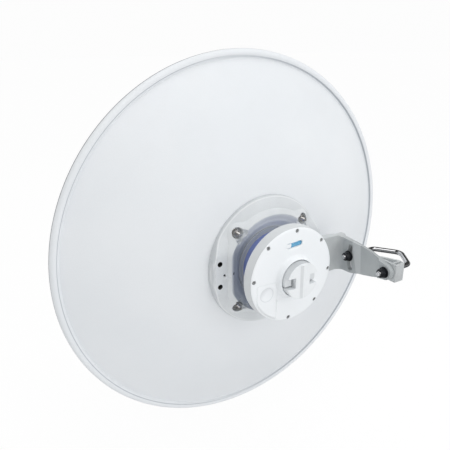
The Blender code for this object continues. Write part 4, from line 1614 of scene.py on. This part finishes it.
@dataclass
class Arm(Assembly):
    """The cast arm from the plate to the clamp, with the bolts in its foot."""

    bolt_bore: float = 0.0042

    def plan(self) -> np.ndarray:
        """The arm from above: foot, fillet, slot pad, web and pivot boss.

        Returns:
            The points, (x, y) in the dish's frame.
        """
        fillet = arc((0.1140, -0.1275), 0.0100, 90, 0, 10)
        start = [
            (0.0892, -0.0913),
            (0.0892, -0.0985),
            (0.1040, -0.0985),
            (0.1075, -0.1020),
            (0.1075, -0.1065),
            (0.1040, -0.1100),
            (0.0820, -0.1100),
            (0.0820, -0.1175),
        ]
        end = [
            (ARM_INNER_X, -0.1475),
            (0.1272, -0.1605),
            (0.1270, -0.1990),
            (ARM_INNER_X, -0.2015),
            (ARM_INNER_X, -0.2340),
            (ARM_OUTER_X, -0.2340),
            (ARM_OUTER_X, -0.1050),
            (0.1290, -0.0960),
            (0.1180, -0.0913),
        ]
        return np.concatenate([start, fillet, end])

    def side(self) -> np.ndarray:
        """The arm from the side: flange, deep foot, and a taper to the round pivot boss.

        Returns:
            The points, (y, z) in the dish's frame.
        """
        upper = [
            (-0.0800, 0.0242),
            (-0.1095, 0.0242),
            (-0.1097, 0.0310),
            (-0.1180, 0.0308),
            (-0.1215, 0.0280),
            (-0.1345, 0.0270),
            (-0.1454, 0.0264),
            (-0.1560, 0.0252),
            (-0.1667, 0.0240),
            (-0.1788, 0.0226),
            (-0.1870, 0.0206),
            (-0.1958, 0.0180),
            (-0.2020, 0.0156),
            (-0.2085, 0.0139),
        ]
        lower = [
            (-0.2080, -0.0136),
            (-0.1980, -0.0162),
            (-0.1880, -0.0193),
            (-0.1710, -0.0235),
            (-0.1580, -0.0263),
            (-0.1476, -0.0286),
            (-0.1400, -0.0298),
            (-0.1250, -0.0305),
            (-0.1180, -0.0315),
            (-0.1097, -0.0315),
            (-0.1095, -0.0242),
            (-0.0800, -0.0242),
        ]
        return np.concatenate([upper, arc((PIVOT_Y, 0.0), 0.0125, 96, 264, 24), lower])

    def slot(self) -> np.ndarray:
        """The arc slot round the pivot: two concentric arcs joined by two round ends.

        Returns:
            The points, (y, z) in the dish's frame.
        """
        low = -16.3
        high = 12.4
        half = LEG_BORE_RADIUS
        pivot = (PIVOT_Y, 0.0)
        low_end, high_end = arc(pivot, LEG_SPACING, low, high, 1)
        return np.concatenate(
            [
                arc(pivot, LEG_SPACING + half, low, high, 16)[1:-1],
                arc(tuple(high_end), half, high, high + 180, 12),
                arc(pivot, LEG_SPACING - half, high, low, 16)[1:-1],
                arc(tuple(low_end), half, low + 180, low + 360, 12),
            ]
        )

    def build(self) -> None:
        """Makes the arm from its plan and side, then cuts the slot and bores."""
        arm = self.on_dish("arm_casting", extrude(self.plan(), -0.0400, 0.0400, Axis.Z))
        steps = [("INTERSECT", dish_cutter(self.side(), 0.0600, 0.1600, Axis.X))]
        for outline in (self.slot(), circle((PIVOT_Y, 0.0), LEG_BORE_RADIUS)):
            steps.append(("DIFFERENCE", dish_cutter(outline, 0.1100, 0.1500, Axis.X)))
        for z in (SEAT_BOLT_RISE, -SEAT_BOLT_RISE):
            hole = circle((SEAT_BOLT_X, z), self.bolt_bore)
            steps.append(("DIFFERENCE", dish_cutter(hole, -0.1050, -0.0850, Axis.Y)))
        cut_and_join(arm, steps)
        soften(arm, 0.0007, 3, 24)
        self.add(arm, "arm", "arm")
        for name, z in (("upper", SEAT_BOLT_RISE), ("lower", -SEAT_BOLT_RISE)):
            self.build_bolt(name, z)

    def build_bolt(self, name: str, z: float) -> None:
        """A black button-head bolt with a socket.

        Args:
            name: upper or lower.
            z: its place upwards, in the dish's frame.
        """
        section = rounded_profile(
            [
                (0.0, -0.1022, 0.0),
                (0.0026, -0.1022, 0.0002),
                (0.0030, -0.1045, 0.0003),
                (0.0058, -0.1044, 0.0010),
                (0.0065, -0.1020, 0.0010),
                (0.0065, -0.0988, 0.0003),
                (0.0038, -0.0988, 0.0002),
                (0.0038, -0.0790, 0.0003),
                (0.0, -0.0790, 0.0),
            ]
        )
        bolt = lathe(section, 72).moved((SEAT_BOLT_X, 0.0, z))
        self.add(self.on_dish(f"foot_bolt_{name}", bolt), "black", f"arm_bolt_{name}")


@dataclass
class PoleClamp(Assembly):
    """The jaw, the U-bolt and its nuts, fixed to the pole."""

    body: Body = Body.CLAMP
    half_height: float = 0.0147

    def build(self) -> None:
        """Makes the pieces of the clamp."""
        self.build_jaw()
        self.build_u_bolt()
        self.build_nuts()

    def leg_offsets(self) -> tuple[tuple[str, float], ...]:
        """Each leg's name and place along Y in the row frame."""
        return (("pivot", -LEG_SPACING / 2), ("slot", LEG_SPACING / 2))

    def build_jaw(self) -> None:
        """The jaw: a V for the pole, two bores and cored pockets."""
        back = ARM_OUTER_X + GAP
        horn = 0.1530
        side = [(back, -0.052), (0.1510, -0.052), (horn, -0.044), (horn, -0.040), (SEAT_LAND_X, -0.007)]
        outline = np.array(side + [(x, -y) for x, y in reversed(side)]) - (SEAT_LAND_X, 0.0)
        jaw = make_object("jaw_casting", extrude(outline, -self.half_height, self.half_height, Axis.Z))
        steps = []
        for _, offset in self.leg_offsets():
            bore = circle((offset, 0.0), LEG_BORE_RADIUS)
            steps.append(("DIFFERENCE", extrude(bore, -0.0300, 0.0500, Axis.X)))
            sign = math.copysign(1.0, offset)
            inner = [(0.1362, 0.0170), (0.1362, 0.0405), (0.1495, 0.0405)]
            outer = [(0.1362, 0.0440), (0.1362, 0.0480), (0.1495, 0.0480), (0.1495, 0.0440)]
            for corners in (inner, outer):
                pocket = np.array([(x - SEAT_LAND_X, sign * y) for x, y in corners])
                for low, high in ((0.0070, 0.0300), (-0.0300, -0.0070)):
                    steps.append(("DIFFERENCE", extrude(pocket, low, high, Axis.Z)))
        cut_and_join(jaw, steps)
        soften(jaw, 0.0009, 3, 24)
        self.add(jaw, "jaw", "clamp_jaw")

    def bend_path(self) -> np.ndarray:
        """The U-bolt's middle line: straight runs joined by arcs, as evenly spaced points.

        Returns:
            The points in the row frame.
        """
        half = LEG_SPACING / 2
        corners = [
            Vector((0.1110, -half, 0.0)),
            Vector((0.1790, -half, 0.0)),
            Vector((0.2055, 0.0, 0.0)),
            Vector((0.1790, half, 0.0)),
            Vector((0.1110, half, 0.0)),
        ]
        points = [np.array(corners[0])]
        bends = zip(corners, corners[1:], corners[2:], (0.010, 0.014, 0.010))
        for before, corner, after, radius in bends:
            into = (corner - before).normalized()
            out = (after - corner).normalized()
            bend = into.angle(out)
            start = corner - into * radius * math.tan(bend / 2)
            across = (out - into * into.dot(out)).normalized()
            turn = np.linspace(0.0, bend, 25)[:, None]
            middle = np.array(start + across * radius)
            round_part = np.array(into) * radius * np.sin(turn)
            points.append(middle - np.array(across) * radius * np.cos(turn) + round_part)
        points.append(np.array(corners[-1]))
        rough = np.vstack(points)
        run = np.concatenate([[0.0], np.cumsum(np.linalg.norm(np.diff(rough, axis=0), axis=1))])
        even = np.linspace(0.0, run[-1], 1560)
        path = np.stack([np.interp(even, run, rough[:, i]) for i in range(3)], -1)
        return path - (SEAT_LAND_X, 0.0, 0.0)

    def build_u_bolt(self) -> None:
        """The U-bolt: a polished bar whose two ends carry a rolled thread."""
        path = self.bend_path()
        run = np.concatenate([[0.0], np.cumsum(np.linalg.norm(np.diff(path, axis=0), axis=1))])
        from_end = np.minimum(run, run[-1] - run)
        sides = 40
        turn = np.linspace(0.0, 2 * np.pi, sides, endpoint=False)
        phase = (from_end[:, None] / THREAD_PITCH - turn[None, :] / (2 * np.pi)) % 1.0
        tooth = np.abs(2 * phase - 1.0)
        threaded = (1 - smoothstep(0.0300, 0.0320, from_end))[:, None]
        taper = 0.0008 * (1 - smoothstep(0.0, 0.0010, from_end))[:, None]
        radius = 0.0040 - np.maximum(0.0005 * tooth * threaded, taper)
        bar = make_object("u_bolt_bar", swept(path, radius, sides), 60)
        self.add(bar, "chrome", "u_bolt")

    def build_nuts(self) -> None:
        """A washer and a domed black nut on each leg."""
        face = ARM_INNER_X - SEAT_LAND_X
        for name, offset in self.leg_offsets():
            place = (0.0, offset, 0.0)
            washer = Washer(radius=0.0088).surface(face - GAP, -1.0, Axis.X)
            washer = make_object(f"leg_washer_{name}", washer.moved(place))
            self.add(washer, "black", f"{name}_washer")
            nut = HexNut(height=0.0066, dome=0.0016).surface(face - 0.0022, -1.0, Axis.X, 0.3)
            nut = make_object(f"leg_nut_{name}", nut.moved(place), 24)
            self.add(nut, "black", f"{name}_nut")


@dataclass
class Feed(Assembly):
    """The feed on the front: flange, tube and cap."""

    tube_radius: float = 0.0170
    cap_radius: float = 0.0460

    def build(self) -> None:
        """Makes the three turned pieces."""
        flange = rounded_profile(
            [
                (0.0173, -0.0780, 0.0),
                (0.0510, -0.0800, 0.0010),
                (0.0560, -0.0797, 0.0004),
                (0.0560, -0.0772, 0.0012),
                (0.0480, -0.0752, 0.0040),
                (0.0300, -0.0742, 0.0060),
                (0.0205, -0.0680, 0.0040),
                (0.0195, -0.0662, 0.0012),
                (0.0173, -0.0662, 0.0004),
                (0.0173, -0.0750, 0.0),
            ],
            6,
        )
        self.add(self.on_dish("feed_base", lathe(flange, 160)), "feed", "feed_flange")
        tube = rounded_profile(
            [
                (0.0, -0.1277, 0.0),
                (self.tube_radius, -0.1277, 0.0006),
                (self.tube_radius, -0.0300, 0.0),
                (0.0166, -0.0296, 0.0004),
                (0.0166, -0.0280, 0.0004),
                (self.tube_radius, -0.0276, 0.0),
                (self.tube_radius, 0.1397, 0.0006),
                (0.0, 0.1397, 0.0),
            ]
        )
        self.add(self.on_dish("feed_pipe", lathe(tube, 120)), "feed", "feed_tube")
        cap = rounded_profile(
            [
                (0.0, 0.1400, 0.0),
                (0.0210, 0.1400, 0.0010),
                (0.0400, 0.1700, 0.0080),
                (0.0452, 0.1790, 0.0030),
                (self.cap_radius, 0.1800, 0.0006),
                (self.cap_radius, 0.1840, 0.0004),
                (0.0454, 0.1845, 0.0004),
                (0.0454, 0.1855, 0.0004),
                (self.cap_radius, 0.1860, 0.0004),
                (self.cap_radius, 0.1990, 0.0060),
                (0.0380, 0.2050, 0.0100),
                (0.0, 0.2060, 0.0),
            ],
            6,
        )
        self.add(self.on_dish("feed_radome", lathe(cap, 160)), "feed", "feed_cap")


@dataclass
class Studio:
    """Pale floor, soft lights and the camera at the photo's angle."""

    floor_z: float = -0.42
    floor_size: float = 60.0
    camera_place: tuple[float, float, float] = (-0.57274, -0.50133, 0.33248)
    turn_degrees: float = 30.806
    down_degrees: float = 20.203
    roll_degrees: float = 0.728
    lens: float = 39.55
    floor_light: Colour = (0.96, 0.96, 0.96)
    floor_shade: Colour = (0.93, 0.93, 0.93)
    floor_mirror: Colour = (0.80, 0.82, 0.86)
    floor_mirror_strength: float = 0.16
    floor_glow: float = 1.008
    floor_glow_share: float = 0.88
    sky: float = 0.925
    seen_sky: float = 0.98
    overhead_way: tuple[float, float, float] = (-0.24, -0.50, 0.83)
    top_power: float = 6.0
    key_power: float = 5.0

    def build(self) -> None:
        """Makes the floor, the lights, the sky and the camera."""
        self.build_floor()
        self.build_lights()
        self.build_camera()

    def build_floor(self) -> None:
        """A wide, pale, faintly mottled floor that glows a little and mirrors dimly."""
        half = self.floor_size / 2
        corners = np.array([(-half, -half), (half, -half), (half, half), (-half, half)])
        points = np.column_stack([corners, np.full(4, self.floor_z)])
        floor = make_object("studio_floor", Surface(points, [[0, 1, 2, 3]]))
        material = bpy.data.materials.new("studio_floor")
        material.use_nodes = True
        links = material.node_tree.links
        g = Graph(material.node_tree)
        shader = material.node_tree.nodes["Principled BSDF"]
        shader.inputs["Roughness"].default_value = 0.9
        place = g.node("ShaderNodeTexCoord").outputs["Object"]
        noise = g.node("ShaderNodeTexNoise", {"Vector": place, "Scale": 1.5, "Detail": 3.0})
        links.new(g.blend(noise.outputs[0], self.floor_shade, self.floor_light), shader.inputs["Base Color"])
        rays = g.node("ShaderNodeLightPath").outputs
        dim = {"Color": (*self.floor_mirror, 1.0), "Strength": self.floor_mirror_strength}
        mirrored = g.node("ShaderNodeEmission", dim).outputs[0]
        lit = {0: rays["Is Glossy Ray"], 1: shader.outputs[0], 2: mirrored}
        base = g.node("ShaderNodeMixShader", lit).outputs[0]
        bright = {"Color": (1.0, 1.0, 1.0, 1.0), "Strength": self.floor_glow}
        glow = g.node("ShaderNodeEmission", bright).outputs[0]
        share = g.times(rays["Is Camera Ray"], self.floor_glow_share)
        mixed = g.node("ShaderNodeMixShader", {0: share, 1: base, 2: glow}).outputs[0]
        links.new(mixed, material.node_tree.nodes["Material Output"].inputs["Surface"])
        floor.data.materials.append(material)

    def add_area(self, name: str, place: tuple, target: tuple, size: float, power: float) -> None:
        """A square soft light aimed at a point.

        Args:
            name: its name.
            place: where it is.
            target: the point it faces.
            size: its side.
            power: its watts.
        """
        lamp = bpy.data.lights.new(name, "AREA")
        lamp.shape = "SQUARE"
        lamp.size = size
        lamp.energy = power
        obj = bpy.data.objects.new(name, lamp)
        obj.location = place
        obj.rotation_euler = (Vector(target) - Vector(place)).to_track_quat("-Z", "Y").to_euler()
        bpy.context.collection.objects.link(obj)

    def build_lights(self) -> None:
        """A pale sky that mirrors as bright and dark bands, a soft top light and a soft key."""
        world = bpy.data.worlds.new("studio_sky")
        world.use_nodes = True
        g = Graph(world.node_tree)
        back = world.node_tree.nodes["Background"]
        back.inputs["Color"].default_value = (1.0, 1.0, 1.0, 1.0)
        way = g.node("ShaderNodeTexCoord").outputs["Generated"]
        parts = g.node("ShaderNodeSeparateXYZ", {0: way})
        rays = g.node("ShaderNodeLightPath")
        seen = rays.outputs["Is Camera Ray"]
        glossy = rays.outputs["Is Glossy Ray"]
        lean = g.plus(g.times(parts.outputs[0], 0.24), g.times(parts.outputs[2], 0.26))
        even = g.times(g.plus(lean, 0.80), self.sky)
        toward = g.node("ShaderNodeVectorMath", {0: way, 1: self.overhead_way}, operation="DOT_PRODUCT")
        overhead = g.span(toward.outputs["Value"], 0.86, 0.93, 0.07, 1.5)
        skyline = g.ring(parts.outputs[2], 0.02, 0.07, 0.03)
        mirrored = g.most(overhead, g.times(skyline, 0.9))
        strength = g.plus(even, g.times(g.minus(mirrored, even), glossy))
        lit = g.plus(g.times(seen, self.seen_sky), g.times(g.minus(1.0, seen), strength))
        world.node_tree.links.new(lit, back.inputs[1])
        bpy.context.scene.world = world
        bpy.context.scene.view_settings.view_transform = "Standard"
        self.add_area("top_light", (-0.1, -0.4, 1.9), (-0.1, 0.0, 0.0), 1.2, self.top_power)
        self.add_area("key_light", (0.7, -1.9, 0.9), (-0.1, 0.0, 0.0), 0.9, self.key_power)

    def build_camera(self) -> None:
        """The camera: its axes from the turn, the look down and a small roll."""
        turn = math.radians(self.turn_degrees)
        down = math.radians(self.down_degrees)
        roll = math.radians(self.roll_degrees)
        look = Vector((math.sin(turn) * math.cos(down), math.cos(turn) * math.cos(down), -math.sin(down)))
        level = Vector((math.cos(turn), -math.sin(turn), 0.0))
        rise = level.cross(look)
        right = level * math.cos(roll) - rise * math.sin(roll)
        up = level * math.sin(roll) + rise * math.cos(roll)
        camera = bpy.data.objects.new("photo_camera", bpy.data.cameras.new("photo_camera"))
        camera.data.lens = self.lens
        camera.data.sensor_width = 36.0
        camera.data.clip_end = 200.0
        turned = Matrix((right, up, -look)).transposed().to_4x4()
        camera.matrix_world = Matrix.Translation(self.camera_place) @ turned
        bpy.context.collection.objects.link(camera)
        bpy.context.scene.camera = camera


def main() -> None:
    """Builds the studio and every sub-assembly in order."""
    logging.basicConfig(level=logging.INFO, format="%(name)s: %(message)s")
    Studio().build()
    finishes = Finishes()
    for assembly in (Reflector, MountingPlate, RadioHub, Arm, PoleClamp, Feed):
        assembly(finishes).build()
        log.info("%s done", assembly.__name__)


if __name__ == "__main__":
    main()
